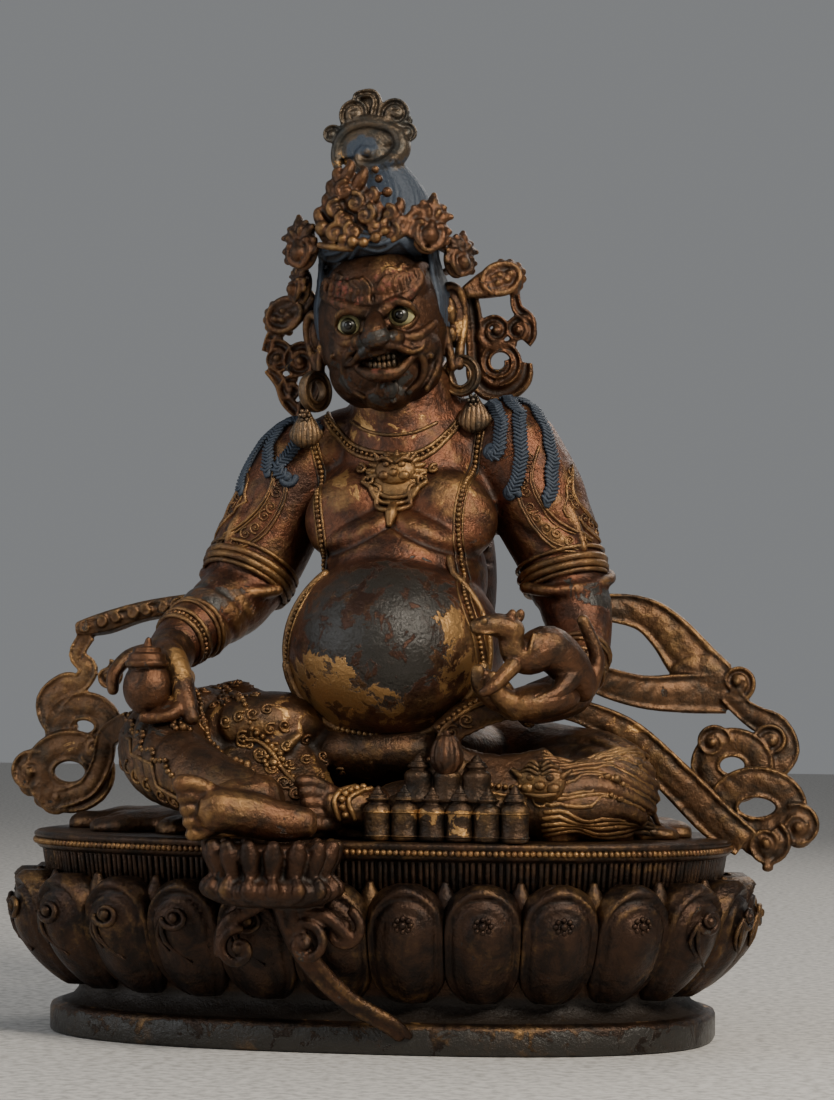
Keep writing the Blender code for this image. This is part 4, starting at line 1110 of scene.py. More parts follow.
def snarl(bm, tree):
    """The small open mouth, drawn up at the right, with its thick lower lip and the tuft under it."""
    line(bm, [(-8.6, -19.8, -9.0, 1.0), (-4.8, -23.4, -7.4, 1.3), (0.6, -25.2, -6.5, 1.4), (6.2, -23.2, -5.9, 1.2),
              (11.2, -18.2, -6.6, 0.9)], 10)
    line(bm, [(-8.6, -19.6, -9.4, 1.0), (-6.2, -21.8, -11.6, 1.6), (-2.4, -23.8, -13.4, 2.3), (1.8, -24.6, -13.8, 2.5),
              (5.8, -23.2, -12.8, 1.9), (8.8, -20.6, -9.8, 1.4), (11.2, -18.0, -7.2, 0.9)], 10)
    for x, lean in ((-1.2, -0.8), (0.6, -0.2), (2.2, 0.4), (3.8, 1.0)):
        line(bm, [(x, -21.6, -16.4, 1.0), (x + lean * 0.5, -21.6, -18.6, 0.9), (x - lean, -20.6, -21.0, 0.4)], 6, 3)
    for x, z, size in ((16.0, -1, 1.1), (14.8, -8.7, 1.1), (10, -16.8, 1.1), (-15.2, -6, 1.0), (-10.4, -17, 1.0),
                       (2.4, -21.6, 0.9)):
        for place in drape(tree, [(x, z)], 0.3):
            blob(bm, place, (size,) * 3, frame_of=HEAD, detail=2)


def ears(bm, tree):
    """Long ears that stand out from the head, with stretched lobes for the rings."""
    line(bm, [(16.8, 0, 7, 1.3), (17.2, 1, 11.4, 1.4), (19.4, 2.4, 13.8, 1.5), (22.2, 3.6, 12.4, 1.5),
              (23.4, 4.4, 7.4, 1.5), (22.8, 4.0, 0.6, 1.5), (21.4, 2.4, -6, 1.6), (21.0, 0, -11.4, 1.8)], 10)
    line(bm, [(-22.8, -0.4, 4, 1.3), (-23.2, 0.6, 7.4, 1.5), (-25.2, 2.0, 9.2, 1.6), (-27.2, 3.2, 6.4, 1.6),
              (-27.2, 3.2, 0.6, 1.6), (-25.6, 2.0, -6, 1.6), (-23.2, 0, -11.4, 1.8)], 10)
    for s, high in ((1, 0), (-1, -3.6)):
        x = s * 22.2 - 2.4
        blob(bm, (x, 3.6, 3.4 + high), (3.2, 1.8, 9.5), frame_of=HEAD)
        blob(bm, (x - s * 0.4, 1.4, 6.0 + high), (1.9, 1.6, 4.4), frame_of=HEAD)
        blob(bm, (x - s * 0.6, 1.0, -1.6 + high), (1.6, 1.6, 2.6), frame_of=HEAD)
        line(bm, [(x - s * 2.2, -0.6, 0, 1.4), (x - s * 1.4, -1.0, -6, 1.5), (x - s * 0.8, -1.4, -12, 1.6)], 8)


class BuildHead(bpy.types.Operator):
    """Builds the wrathful mask of the face, with its ears, eyes and teeth"""
    bl_idname = "jambhala.head"
    bl_label = "Head"

    def execute(self, context):
        bm = bmesh.new()
        tree = tree_from(skull)
        skull(bm)
        for shape in (features, flame_brows, snarl, ears):
            shape(bm, tree)

        def carve(places, normals):
            own = places - np.array(HEAD.translation)
            mouth = ((own - np.array(HEAD.to_3x3() @ Vector((1.4, -22.6, -9.6)))) / (5.6, 4.0, 2.6))
            height = -2.6 * np.clip(1.3 * (1 - (mouth ** 2).sum(1)), 0, 1)
            for x, z in EYE_PLACES:
                socket = (own - np.array(HEAD.to_3x3() @ Vector((x, -19.5, z)))) / (4.4, 4.0, 3.4)
                height -= 1.2 * np.clip(1.3 * (1 - (socket ** 2).sum(1)), 0, 1)
            return height

        head = piece("head", bm, fused=0.42, smoothing=1, carve=carve)

        def at(*place):
            return tuple(HEAD @ Vector(place))

        # The soot patches darken the nose and the lower face.
        finish_piece(head, statue_metal("face_red_bronze"),
                     [
            ("lacquer", at(-8, -20, 13), (11, 9, 8), 0.34), ("lacquer", at(7, -20, 14), (11, 9, 9), 0.36),
            ("lacquer", at(1, -24, -13), (7, 5, 3.0), 0.36), ("lacquer", at(16, -9, -2), (8, 9, 14), 0.2),
            ("gilt", at(6, -20, 20), (9, 8, 6), 0.22), ("gilt", at(22, 0, 2), (5, 6, 14), 0.42),
            ("gilt", at(-24, 0, 2), (5, 6, 14), 0.3), ("gilt", at(0, -10, -27), (22, 14, 7), 0.3),
            ("soot", at(0, -26, -4), (9, 8, 7), 0.36), ("soot", at(-4, -18, -14), (18, 12, 14), 0.3)])

        bm = bmesh.new()
        for ex, ez in EYE_PLACES:
            blob(bm, (ex, -16.2, ez), (4.7, 4.7, 4.3), frame_of=HEAD, detail=4)
        eyes = piece("eyes", bm)
        finish_piece(eyes, plain_paint("painted_eye_white", context.scene.statue_colours.eye_white, 0.35))
        pupils = ((-9.3, 2.8), (7.0, 4.5))
        bm = bmesh.new()
        for px, pz in pupils:
            blob(bm, (px, -19.3, pz), (2.9, 2.1, 2.8), frame_of=HEAD)
        irises = piece("irises", bm)
        finish_piece(irises, plain_paint("painted_iris", (0.030, 0.028, 0.015), 0.3))
        bm = bmesh.new()
        for px, pz in pupils:
            blob(bm, (px, -20.4, pz), (1.6, 1.35, 1.6), frame_of=HEAD)
        finish_piece(piece("pupils", bm), plain_paint("painted_pupil", (0.006, 0.005, 0.004), 0.25))
        bm = bmesh.new()
        for k in range(4):
            x = 0.0 + 1.45 * k
            blob(bm, (x, -23.6 + 0.10 * (x - 1.6) ** 2, -8.0), (0.8, 0.9, 1.5), frame_of=HEAD, detail=2)
        for k in range(6):
            x = -3.0 + 1.45 * k
            blob(bm, (x, -23.3 + 0.08 * (x - 0.8) ** 2, -11.0 + 0.06 * (x - 0.8) ** 2), (0.8, 0.9, 1.6), frame_of=HEAD,
                 detail=2)
        cast("teeth", bm, "worn_teeth", "figure")
        return {"FINISHED"}


def hair_cap(bm, frame_of=HEAD):
    blob(bm, (-2.4, 4.4, 7.5), (21.0, 21.0, 25), frame_of=frame_of, detail=4)
    blob(bm, (-1.6, -1.4, 28.4), (18.8, 16.6, 6.4), frame_of=frame_of, detail=4)


class BuildHair(bpy.types.Operator):
    """Builds the combed hair under the crown, and the hair of the back of the head"""
    bl_idname = "jambhala.hair"
    bl_label = "Hair"

    def execute(self, context):
        bm = bmesh.new()
        tree = tree_from(hair_cap)
        hair_cap(bm)
        # Swags of combed hair along the brow, hung between the leaves of the crown
        pins = ((-21.2, 18.0), (-16.8, 23.6), (-4.4, 27.6), (8.2, 28.4), (15.8, 22.6), (18.0, 14.0))
        for (x0, z0), (x1, z1) in zip(pins, pins[1:]):
            for j in range(5):
                lift = 1.55 * j
                sag = 2.6 - 0.36 * j
                swag = [(x0 + (x1 - x0) * t, z0 + (z1 - z0) * t + lift - sag * sin(pi * t), 0.78)
                        for t in (i / 6 for i in range(7))]
                on_front(bm, tree, swag, 0.05, 6, 2)
        # Locks down the sides and round the back
        locks = 46
        for k in range(locks):
            a = radians(62 + 236 * k / (locks - 1))
            lock = []
            for j in range(8):
                t = j / 7
                sway = 0.05 * sin(t * 5 + k * 0.6)
                lock.append((-2.4 + 21.1 * sin(a + sway), 4.4 - 21.2 * cos(a + sway), 30 - 44 * t))
            path = [(*p[:3], 0.9) for p in lay(tree, lock, 0.6)]
            limb(bm, from_head(path), 6, steps=2)
        hair = piece("hair", bm, fused=0.46, smoothing=1)
        top = tuple(HEAD @ Vector((0, 0, 16)))
        finish_piece(hair, statue_metal("hair_pigment"),
                     [("pigment", top, (40, 40, 44), 0.9)])
        return {"FINISHED"}


class BuildTopknot(bpy.types.Operator):
    """Builds the bound topknot and the curling finial over it"""
    bl_idname = "jambhala.topknot"
    bl_label = "Topknot"

    def execute(self, context):
        bm = bmesh.new()
        blob(bm, (0.5, 9, 189), (11.2, 10.4, 15), detail=4)
        limb(bm, [(1, 9, 194, 9.8), (1, 8.4, 203, 8.0), (-3, 6.6, 211, 5.8), (-6, 5.6, 217, 4.6)], 20)
        # Combed locks that rise from the nape and bind under the finial
        for a in round_angles(34):
            lock = []
            for z, radius, cx, cy in ((177, 11.2, 0.5, 9), (185, 12.8, 0.5, 9), (194, 12.0, 1.0, 9),
                                      (202, 9.6, 1.2, 8.6), (208, 7.8, -0.6, 7.6), (213, 6.4, -3.4, 6.4)):
                twist = a + (z - 177) * 0.014
                lock.append((cx + radius * cos(twist), cy + radius * sin(twist), z, 1.05))
            limb(bm, lock, 6, steps=3)
        # Finial: a crescent that closes on a ball, round a combed field, with curls over it
        blob(bm, (-7.8, 5.4, 218.8), (10.6, 2.8, 8.2))
        blob(bm, (-5.6, 6.6, 228.2), (11.4, 2.4, 4.6))
        blob(bm, (-8.4, 6.0, 233.4), (3.4, 1.4, 3.4))
        for j in range(6):
            size = 9.4 - 1.35 * j
            arc = [(-8.2 + size * cos(a), 3.2 - 0.16 * j, 217.4 + size * 0.86 * sin(a), 0.62)
                   for a in (radians(190 - 20 * i) for i in range(9))]
            limb(bm, arc, 6, steps=2)
        crescent = [(-17.4, 4, 211.0, 1.2), (-19.0, 4, 216.0, 1.7), (-18.0, 4, 221.4, 1.9), (-14.6, 4, 225.4, 2.0),
                    (-9, 4, 227.0, 2.1), (-3.4, 4, 226.2, 2.2), (1.4, 4, 223.4, 2.5), (2.8, 3.2, 218.6, 3.0),
                    (-0.2, 2.4, 214.4, 3.0), (-5.4, 2.0, 212.4, 2.5), (-9.8, 1.8, 213.6, 1.8),
                    (-11.2, 1.6, 216.4, 1.3), (-9.8, 1.6, 218.8, 1.0)]
        limb(bm, crescent, 12, flat=1.3, facing=(0, -1, 0))
        blob(bm, (-8.4, 1.6, 217.6), (1.9, 1.9, 1.9))
        limb(bm, [(-16.6, 4.4, 226.4, 1.0), (-11, 3.2, 228.6, 1.2), (-4.6, 3.2, 228.2, 1.2), (1, 4, 226.6, 1.2),
                  (4.4, 4.4, 226.6, 0.9)], 8)
        rolled(bm, (-12.6, 4.6, 230.4), 4.3, 1.15, 215, -1, 1.6, 1.1, 4.0, 1.5)
        rolled(bm, (0.6, 4.6, 230.0), 4.5, 1.15, 190, -1, 1.7, 1.1, 4.0, 1.5)
        rolled(bm, (4.4, 4.6, 223.6), 2.8, 1.0, 150, -1, 1.4, 1.0, 3.4, 1.2)
        rolled(bm, (-20.4, 4.6, 223.6), 2.8, 1.0, 0, 1, 1.4, 1.0, 3.4, 1.3)
        band(bm, [(-6.8, 4.6, 227, 2.0), (-6.0, 4.6, 231, 1.7), (-5.6, 4.6, 234.4, 1.6), (-7.0, 4.6, 236.8, 1.5),
                  (-9.8, 4.6, 237.0, 1.4), (-12.4, 4.6, 236.2, 1.2), (-12.8, 4.6, 234.2, 0.8)], 4.0,
                  profile=GROOVED_BAND)
        cast("topknot_and_finial", bm, "finial_grey_bronze", "figure",
             [("pigment", (1, 10, 194), (24, 24, 27), 0.85), ("pigment", (-10, 4, 218.6), (7, 5, 6), 0.8),
              ("gilt", (-18, 4, 214), (4, 5, 7), 0.4)],
             fused=0.46, smoothing=1)
        return {"FINISHED"}


# The crown

def crown_leaf(bm, centre, width, height, lean, turn):
    """A leaf of the crown: a drop-shaped jewel among fleshy lobes that rise and curl round it."""
    place = (Matrix.Translation(centre)
             @ Euler((radians(-8), radians(lean), radians(turn))).to_matrix().to_4x4())

    def put(points):
        return [(*(place @ Vector(p[:3])), *p[3:]) for p in points]

    blob(bm, (0, 1.6, -height * 0.04), (width * 0.40, 1.8, height * 0.40), frame_of=place)
    blob(bm, (0, -1.9, -height * 0.16), (width * 0.20, 2.7, height * 0.16), frame_of=place)
    limb(bm, put([(0, -2.2, -height * 0.12, width * 0.15), (0, -2.0, height * 0.02, width * 0.11),
                  (0, -1.4, height * 0.10, width * 0.05)]), 10, steps=3)
    for s in (-1, 1):
        collar = [(s * width * 0.05, -1.2, -height * 0.40, width * 0.07),
                  (s * width * 0.27, -1.6, -height * 0.27, width * 0.085),
                  (s * width * 0.31, -1.6, -height * 0.08, width * 0.08),
                  (s * width * 0.20, -1.6, height * 0.06, width * 0.06)]
        limb(bm, put(collar), 8, steps=3)
        low = (s * width * 0.40, -0.6, -height * 0.16)
        limb(bm, put(spiral(low, width * 0.14, 1.1, 90, s, width * 0.085, width * 0.05, inner=0.2)), 8, steps=1)
    for k in range(-3, 4):
        a = radians(k * 29)
        side = (k > 0) - (k < 0)
        reach = 1.0 if k % 2 == 0 else 0.88
        tip = Vector((sin(a) * width * 0.46, 0, cos(a) * height * 0.52)) * reach
        start = tip * 0.30 + Vector((0, -0.4, 0))
        hook = tip + Vector((side * width * 0.06, -1.0, -height * 0.035)) if k else tip * 1.06
        limb(bm, put([(*start, width * 0.12), (*(tip * 0.7 + Vector((0, -0.7, 0))), width * 0.135),
                      (*(tip * 0.9), width * 0.125), (*hook, width * 0.075)]), 8, steps=3)
        if k % 2:
            inner = tip * 0.62
            limb(bm, put([(*(inner * 0.6 + Vector((0, -1.8, 0))), width * 0.07),
                          (*(inner + Vector((0, -2.2, 0))), width * 0.085),
                          (*(inner * 1.22 + Vector((side * 0.5, -1.6, 0))), width * 0.045)]), 8, steps=2)


def central_leaf(bm):
    """The tall foliate panel over the brow, with tiers of fleshy curls, balls and hooks on its edges."""
    band(bm, [(-4, -23.4, 184.5, 11), (-5, -23.6, 189, 10.5), (-6, -22.8, 194, 8.5), (-8, -21.0, 200, 5.5),
              (-9.6, -18.8, 205, 2.5)], 4.2, steps=4)
    for x, y, z, radius, start, hand in (
        (-9.8, -24.6, 203.6, 2.9, 90, 1), (-6.4, -26.0, 198.8, 3.1, 90, -1), (-3.0, -26.4, 194.2, 3.1, 60, -1),
        (0.4, -26.2, 189.8, 3.0, 30, -1), (-12.4, -25.4, 196.6, 2.9, 90, 1), (-9.4, -26.6, 192.4, 2.6, 120, 1),
        (-12.2, -26.4, 187.6, 2.9, 80, 1), (-6.4, -27.4, 188.2, 2.7, 120, 1), (4.4, -25.6, 194.6, 2.4, 90, -1),
        (5.2, -25.8, 188.0, 2.8, 60, -1), (-2.0, -24.4, 201.4, 2.4, 60, -1),
    ):
        z = 181 + (z - 181) * 0.86
        blob(bm, (x, y + 2.6, z), (radius * 1.25, 2.6, radius * 1.2))
        curl(bm, (x, y, z), radius, 1.1, start, hand, 1.3, 0.9, 1.9, 1.1)
    for x, y, z, r in ((-6.3, -29, 183.6, 1.9), (-2.9, -29, 183.4, 1.7), (0.9, -28.6, 184.9, 1.8),
                       (3.6, -27.6, 187.0, 1.5), (-9.7, -28, 184.6, 1.6), (-16.8, -25, 188.6, 2.5),
                       (3.4, -23.4, 200.0, 1.7), (0.4, -22.4, 204.4, 1.4), (7.6, -24.6, 190.6, 2.4),
                       (-0.8, -22, 207.4, 1.3)):
        blob(bm, (x, y, z), (r, r, r), detail=3)
    for x, z, lean in ((-18.4, 194.4, -1), (-15.8, 199.6, -1), (-14.6, 204.6, -1), (-12.6, 209.2, -1),
                       (-8.6, 212.0, 1), (-4.4, 209.6, 1), (7.4, 197.4, 1), (-17.6, 190.4, -1)):
        z = 181 + (z - 181) * 0.84
        limb(bm, [(x - lean * 3.2, -22.0, z - 4.6, 2.4), (x - lean * 0.6, -23.2, z - 0.6, 2.2),
                  (x + lean * 0.4, -23.2, z + 1.8, 1.5), (x - lean * 0.4, -22.8, z + 3.0, 0.9)], 8)
    limb(bm, [(-17.6, -25.4, 183.4, 1.1), (-12, -27.4, 182.2, 1.2), (-7, -28.2, 181.6, 1.1)], 8)
    limb(bm, [(6, -26.4, 184.6, 1.2), (9.4, -25.2, 187.4, 1.3), (10.6, -24.2, 192, 1.3), (13.6, -22.8, 194.4, 1.1),
              (15.4, -21.8, 192.6, 0.8)], 8)


class BuildCrown(bpy.types.Operator):
    """Builds the crown: its band, five leaves, ear fans and hanging ribbons"""
    bl_idname = "jambhala.crown"
    bl_label = "Crown"

    def execute(self, context):
        bm = bmesh.new()
        hoop = []
        for a in round_angles(28):
            front = (1 + cos(a)) / 2
            hoop.append((0.4 + 20.6 * sin(a), 0.6 - 17.6 * cos(a), 178.5 + 8.0 * front, 2.0))
        band(bm, hoop, 2.0, facing=(0, 0, -1), closed=True)
        central_leaf(bm)
        crown_leaf(bm, (16.4, -21.0, 189.0), 13.8, 19.5, 10, 26)
        crown_leaf(bm, (24.4, -11.4, 181.0), 12.4, 15.5, 16, 48)
        crown_leaf(bm, (-25.0, -18.0, 184.4), 13.4, 18.0, -14, -26)
        crown_leaf(bm, (-27.4, -9, 173.6), 10.8, 14.5, -8, -50)
        # Fans at the ears: trumpet-like leaves with a rolled rim
        for sign, base, mouth in ((1, Vector((24.5, 1.6, 171.8)), Vector((34.4, 4.6, 175.8))),
                                  (-1, Vector((-25.5, 0.8, 171.0)), Vector((-34.0, 3.0, 165.8)))):
            along = (mouth - base).normalized()
            up = Vector((0, -1, 0)).cross(along) * -sign
            for shift in (-3.2, -1.1, 1.1, 3.2):
                limb(bm, [(*(base + up * shift * 0.35), 1.2), (*(base.lerp(mouth, 0.5) + up * shift * 0.9), 1.5),
                          (*(mouth + up * shift * 1.15), 1.7), (*(mouth + along * 3.4 + up * shift * 0.9), 1.0)], 8,
                          flat=1.2)
            rim = []
            for a in round_angles(12):
                place = mouth + along * 1.0 + along * 6.2 * cos(a) + up * 4.9 * sin(a) + Vector((0, -1.2, 0))
                rim.append((*place, 1.15))
            limb(bm, rim, 8, closed=True, steps=3)
            blob(bm, mouth + along * 1.6 + Vector((0, 0.6, 0)), (6.0, 1.3, 4.4),
                 (0, -degrees(atan2(along.z, along.x)), 0))
            for share, side_lift in ((-0.4, 0.8), (0.5, -0.9), (1.6, 0.7), (2.8, -0.4)):
                blob(bm, mouth + along * share * 1.5 + up * side_lift * 1.4 + Vector((0, -1.0, 0)), (1.7, 1.5, 1.3))
            for k in range(7):
                a = radians(-75 + 25 * k)
                blob(bm, mouth + along * (1.0 + 7.0 * cos(a)) + up * 5.4 * sin(a), (1.5, 1.3, 1.5), detail=2)
        # Hanging ribbons, grooved, with flame-tipped scrolls
        band(bm, [(24.5, 4, 174, 2.6), (26.2, 6, 164, 3.0), (26.8, 7, 152, 3.0), (27.2, 7, 145, 3.2),
                  (31.0, 7, 140.8, 3.4), (37, 7, 140.4, 3.4), (42.0, 7, 144.2, 3.2), (43.2, 7, 149.6, 2.2)], 3.4,
                  profile=GROOVED_BAND)
        rolled(bm, (34.6, 6.4, 149.6), 6.2, 1.3, 270, 1, 2.0, 1.5, 3.0, 0, inner=0.5)
        rolled(bm, (33.4, 6.4, 159.8), 4.8, 1.2, 250, -1, 2.0, 1.3, 3.0, 1.2)
        rolled(bm, (40.8, 6.4, 159.8), 4.6, 1.15, 300, 1, 2.0, 1.3, 3.0, 1.4)
        band(bm, [(44.2, 6.4, 157.8, 2.0), (44.2, 6.4, 163.0, 2.2), (40.4, 6.4, 166.8, 2.0), (39.6, 6.4, 172.0, 1.5),
                  (41.0, 6.4, 174.6, 0.7)], 3.0, profile=GROOVED_BAND)
        limb(bm, [(28, 6.4, 158, 1.5), (30.6, 6.4, 154.8, 1.6), (36, 6.4, 155.0, 1.5), (39, 6.4, 155.6, 1.4)], 8)
        band(bm, [(-25.5, 3, 172, 2.4), (-26.0, 5, 162, 2.6), (-24.6, 5, 152, 2.6), (-25.0, 5, 142, 2.6),
                  (-28.6, 5, 135, 2.4), (-28.0, 5, 129.0, 1.8)], 3.2, profile=GROOVED_BAND)
        rolled(bm, (-29.8, 5, 150.4), 5.0, 1.25, 60, 1, 2.0, 1.3, 3.0, 1.5)
        rolled(bm, (-37.6, 5, 151.6), 4.8, 1.2, 120, -1, 2.0, 1.3, 3.0, 1.5)
        band(bm, [(-41.2, 5, 153.6, 1.8), (-39.6, 5, 158.6, 2.0), (-36.8, 5, 161.4, 1.8), (-38.4, 5, 165.6, 1.4),
                  (-39.8, 5, 167.4, 0.7)], 3.0, profile=GROOVED_BAND)
        band(bm, [(-40.6, 5, 148.4, 2.0), (-36.4, 5, 143.6, 2.4), (-34.2, 5, 137.8, 2.4), (-30.0, 5, 133.4, 2.2)], 3.0,
             profile=GROOVED_BAND)
        rolled(bm, (-32.8, 5, 141.4), 3.4, 1.1, 60, 1, 1.7, 1.2, 2.8, 1.1)
        cast("crown_cast", bm, "crown_gilding", "crown", replaces=("crown",), fused=0.46, smoothing=1)
        return {"FINISHED"}


# Jewellery and hair over the shoulders

def earring(bm, centre, turn, tassel):
    """A double-rimmed ring, with a shell-like tassel under a small flower."""
    facing = (sin(radians(turn)), -cos(radians(turn)), 0)
    front = Vector(facing)
    ring(bm, centre, 4.7, 4.9, 1.8, 3.0, facing)
    ring(bm, tuple(Vector(centre) + front * 0.9), 5.9, 6.1, 0.6, 2.8, facing)
    ring(bm, tuple(Vector(centre) + front * 0.9), 3.4, 3.6, 0.55, 2.6, facing)
    x, y, z = tassel
    for k in range(9):
        a = radians(-84 + 21 * k)
        flute = [(x + 0.8 * sin(a), y - 1.0, z + 4.0, 0.8),
                 (x + 3.6 * sin(a), y - 2.6 * cos(a), z + 2.4 * cos(a) - 1.6, 1.15),
                 (x + 4.6 * sin(a), y - 2.8 * cos(a), z - 2.0 - 2.6 * cos(a), 1.15),
                 (x + 3.2 * sin(a), y - 1.6 * cos(a), z - 4.0 - 2.4 * cos(a), 0.8)]
        limb(bm, flute, 8, steps=3)
    blob(bm, (x, y, z - 1.0), (3.8, 2.0, 4.2))
    for a in round_angles(6):
        bead(bm, (x + 1.5 * cos(a), y - 3.2, z + 3.2 + 1.5 * sin(a)), 0.75)
    bead(bm, (x, y - 3.7, z + 3.2), 0.9)


def hoop_round(centre, axis, hint, radius, shift, extra=0):
    """Places of a hoop square to an axis, moved along it."""
    axis = Vector(axis).normalized()
    side = axis.cross(Vector(hint)).normalized()
    up = side.cross(axis)
    return [Vector(centre) + axis * shift + (side * cos(a) + up * sin(a)) * radius
            for a in round_angles(24, extra)]


def tress(bm, tree, points, half=1.9):
    """A flat lock of hair that lies on the shoulder, combed into a herringbone."""
    path = lay(tree, smooth_path(points, 6), 0.5)
    limb(bm, [(*p[:3], half * (0.75 if i in (0, len(path) - 1) else 1.0)) for i, p in enumerate(path)], 10, steps=1,
         flat=0.5, facing=tree.find_nearest(Vector(path[len(path) // 2][:3]))[1])
    places = spaced(path, 1.25)
    for place, along in list(zip(places, tangents(places)))[1:-1]:
        normal = tree.find_nearest(place)[1]
        side = along.cross(normal).normalized()
        for s in (-1, 1):
            high = place + normal * 1.0 + along * 0.9
            low = place + normal * 0.5 + side * s * half - along * 0.5
            limb(bm, [(*high, 0.5), (*low, 0.5)], 5, steps=1)


class BuildJewellery(bpy.types.Operator):
    """Builds the earrings, plaited tresses, necklace with its pendant, and bead cords"""
    bl_idname = "jambhala.jewellery"
    bl_label = "Jewellery"

    def execute(self, context):
        tree = tree_of(part("body"))
        bm = bmesh.new()
        earring(bm, (24.7, -6, 144.1), -12, (29.3, -9, 132.5))
        earring(bm, (-22.0, -11, 139.0), 58, (-23.6, -14, 127.6))
        cast("earrings", bm, "earring_bronze", "figure")

        bm = bmesh.new()
        for points in (
            [(33, 2, 136), (38, -6, 126), (37, -12, 119), (33, -14, 119)],
            [(37, 4, 136), (42, -4, 124), (44, -8, 112), (41, -12, 106)],
            [(40, 6, 137), (46, 0, 126), (51, -4, 113), (52, -8, 103)],
            [(-21, -8, 128), (-29, 0, 127), (-34, -2, 122), (-36, -8, 112)],
            [(-27, -8, 124), (-30, -8, 118), (-33, -8, 114), (-30, -12, 111)],
            [(-30, 0, 127), (-39, 0, 121), (-43, -2, 114), (-44, -6, 106)],
        ):
            tress(bm, tree, points)
        for x, y, z, s in ((34, -15, 119, 1), (41, -14, 106, 1), (-30, -14, 112, -1)):
            laid_scroll(bm, tree, (x, y, z), 2.6, 1.2, 0, s, 1.2)
        cast("tresses", bm, "hair_pigment", "figure", [("pigment", (5, 0, 120), (90, 60, 40), 0.75)])

        bm = bmesh.new()
        collar = [(-19, 130), (-15, 125), (-9, 119.6), (-2, 116.8), (7, 115.6), (13, 116.4), (18, 119.6), (22, 124.6),
                  (25, 130)]
        draped_line(bm, tree, collar, 0.85, 0.3)
        draped_line(bm, tree, [(x, z + 2.6) for x, z in collar], 0.75, 0.3)
        draped_beads(bm, tree, [(x, z + 1.3) for x, z in collar], 0.7, 0.5, 1.9)
        draped_line(bm, tree, [(-10, 129.5), (-4, 126), (4, 124.4), (12, 125.4), (18, 128.6)], 0.6, 0.1)
        # Pendant: a beast's face among leaves, with swags and a drop
        cx, cz = 6.6, 112
        for k in range(-5, 6):
            fan = radians(k * 21)
            reach = 10.6 - 0.35 * abs(k)
            tip = (cx + sin(fan) * reach, cz + cos(fan) * reach * 0.66)
            half_way = (cx + sin(fan) * reach * 0.6, cz + cos(fan) * reach * 0.42)
            limb(bm, drape(tree, smooth_path([(cx, cz, 1.6), (*half_way, 1.5), (*tip, 0.7)], 4), 0.7), 8, steps=1)
        x, y, z = drape(tree, [(cx, cz)], 1.0)[0]
        blob(bm, (x, y, z + 0.6), (6.6, 3.2, 5.0), (-20, 0, 0))
        blob(bm, (x, y + 1.6, z - 2.6), (10.4, 2.8, 7.4), (-22, 0, 0))
        blob(bm, (x, y + 0.6, z - 8.0), (4.6, 2.2, 6.4), (-24, 0, 0))
        for s in (-1, 1):
            blob(bm, (x + s * 2.5, y - 2.7, z + 2.2), (1.2, 1.0, 1.0), detail=2)
            blob(bm, (x + s * 3.0, y - 2.3, z - 1.2), (2.0, 1.5, 1.6))
            limb(bm, [(x + s * 0.8, y - 3.2, z + 3.0, 0.6), (x + s * 3.0, y - 2.8, z + 4.2, 0.7),
                      (x + s * 5.4, y - 1.8, z + 3.6, 0.5)], 6)
            limb(bm, [(x + s * 5.0, y - 1.4, z + 3.8, 0.9), (x + s * 6.6, y - 1.2, z + 5.8, 0.5)], 6)
            for dx, dz, size in ((9.0, -2.4, 2.2), (6.0, -5.6, 1.8), (11.6, 1.2, 1.7)):
                stations = flat_spiral(cx + s * dx, cz + dz, size, 1.2, 90, s, 0.75, 0.5)
                limb(bm, drape(tree, stations, 0.9), 6, steps=1)
        blob(bm, (x, y - 3.6, z - 0.4), (1.5, 1.4, 1.4), detail=2)
        for drop in (0, 2.4, 4.6):
            swag = [(cx - 10 + drop, cz - 3 - drop * 0.8), (cx - 5, cz - 6.4 - drop), (cx, cz - 7.8 - drop),
                    (cx + 5, cz - 6.4 - drop), (cx + 10 - drop, cz - 3 - drop * 0.8)]
            draped_line(bm, tree, swag, 0.85, 0.7)
        limb(bm, drape(tree, [(cx, cz - 11, 1.5), (cx - 0.3, cz - 13.4, 2.0), (cx - 0.6, cz - 16.4, 1.0)], 0.9), 8)
        cast("necklace", bm, "necklace_bronze", "figure")

        bm = bmesh.new()
        left = [(-24, 128), (-21.6, 120), (-19.4, 110), (-17.4, 98), (-16, 88), (-17, 78), (-20.4, 69), (-23.4, 60),
                (-24.6, 51)]
        right = [(31, 126), (29.6, 116), (28, 107), (27, 97), (27.6, 87), (30, 77), (33.4, 68), (36.2, 60), (37.2, 51)]
        loop = [(-24.6, 51), (-22.6, 43.6), (-17, 38), (-9, 34), (1, 31.8), (11, 31), (20, 32.4), (28.6, 36.5),
                (34.6, 43), (37.2, 51)]
        for path, side in ((left, -1), (right, 1)):
            draped_beads(bm, tree, path, 0.85, 0.25, 1.6)
            for shift in (-1.25, 1.25):
                draped_line(bm, tree, [(x + shift, z) for x, z in path], 0.42, 0.1)
            flank = [(x + side * 2.6, -34, z) for x, z in path if z < 90]
            laid_line(bm, tree, flank, 1.25, 0.3)
        draped_beads(bm, tree, loop, 1.0, 0.45, 1.85)
        for reach, radius in ((2.6, 1.4), (6.2, 1.9)):
            outside = []
            for x, z in loop:
                away = Vector((x - 6, 0, z - 54)).normalized() * reach
                outside.append((x + away.x, -40, z + away.z))
            laid_line(bm, tree, outside, radius, 0.4)
        cast("bead_cords", bm, "necklace_bronze", "figure")
        return {"FINISHED"}


# Sleeves

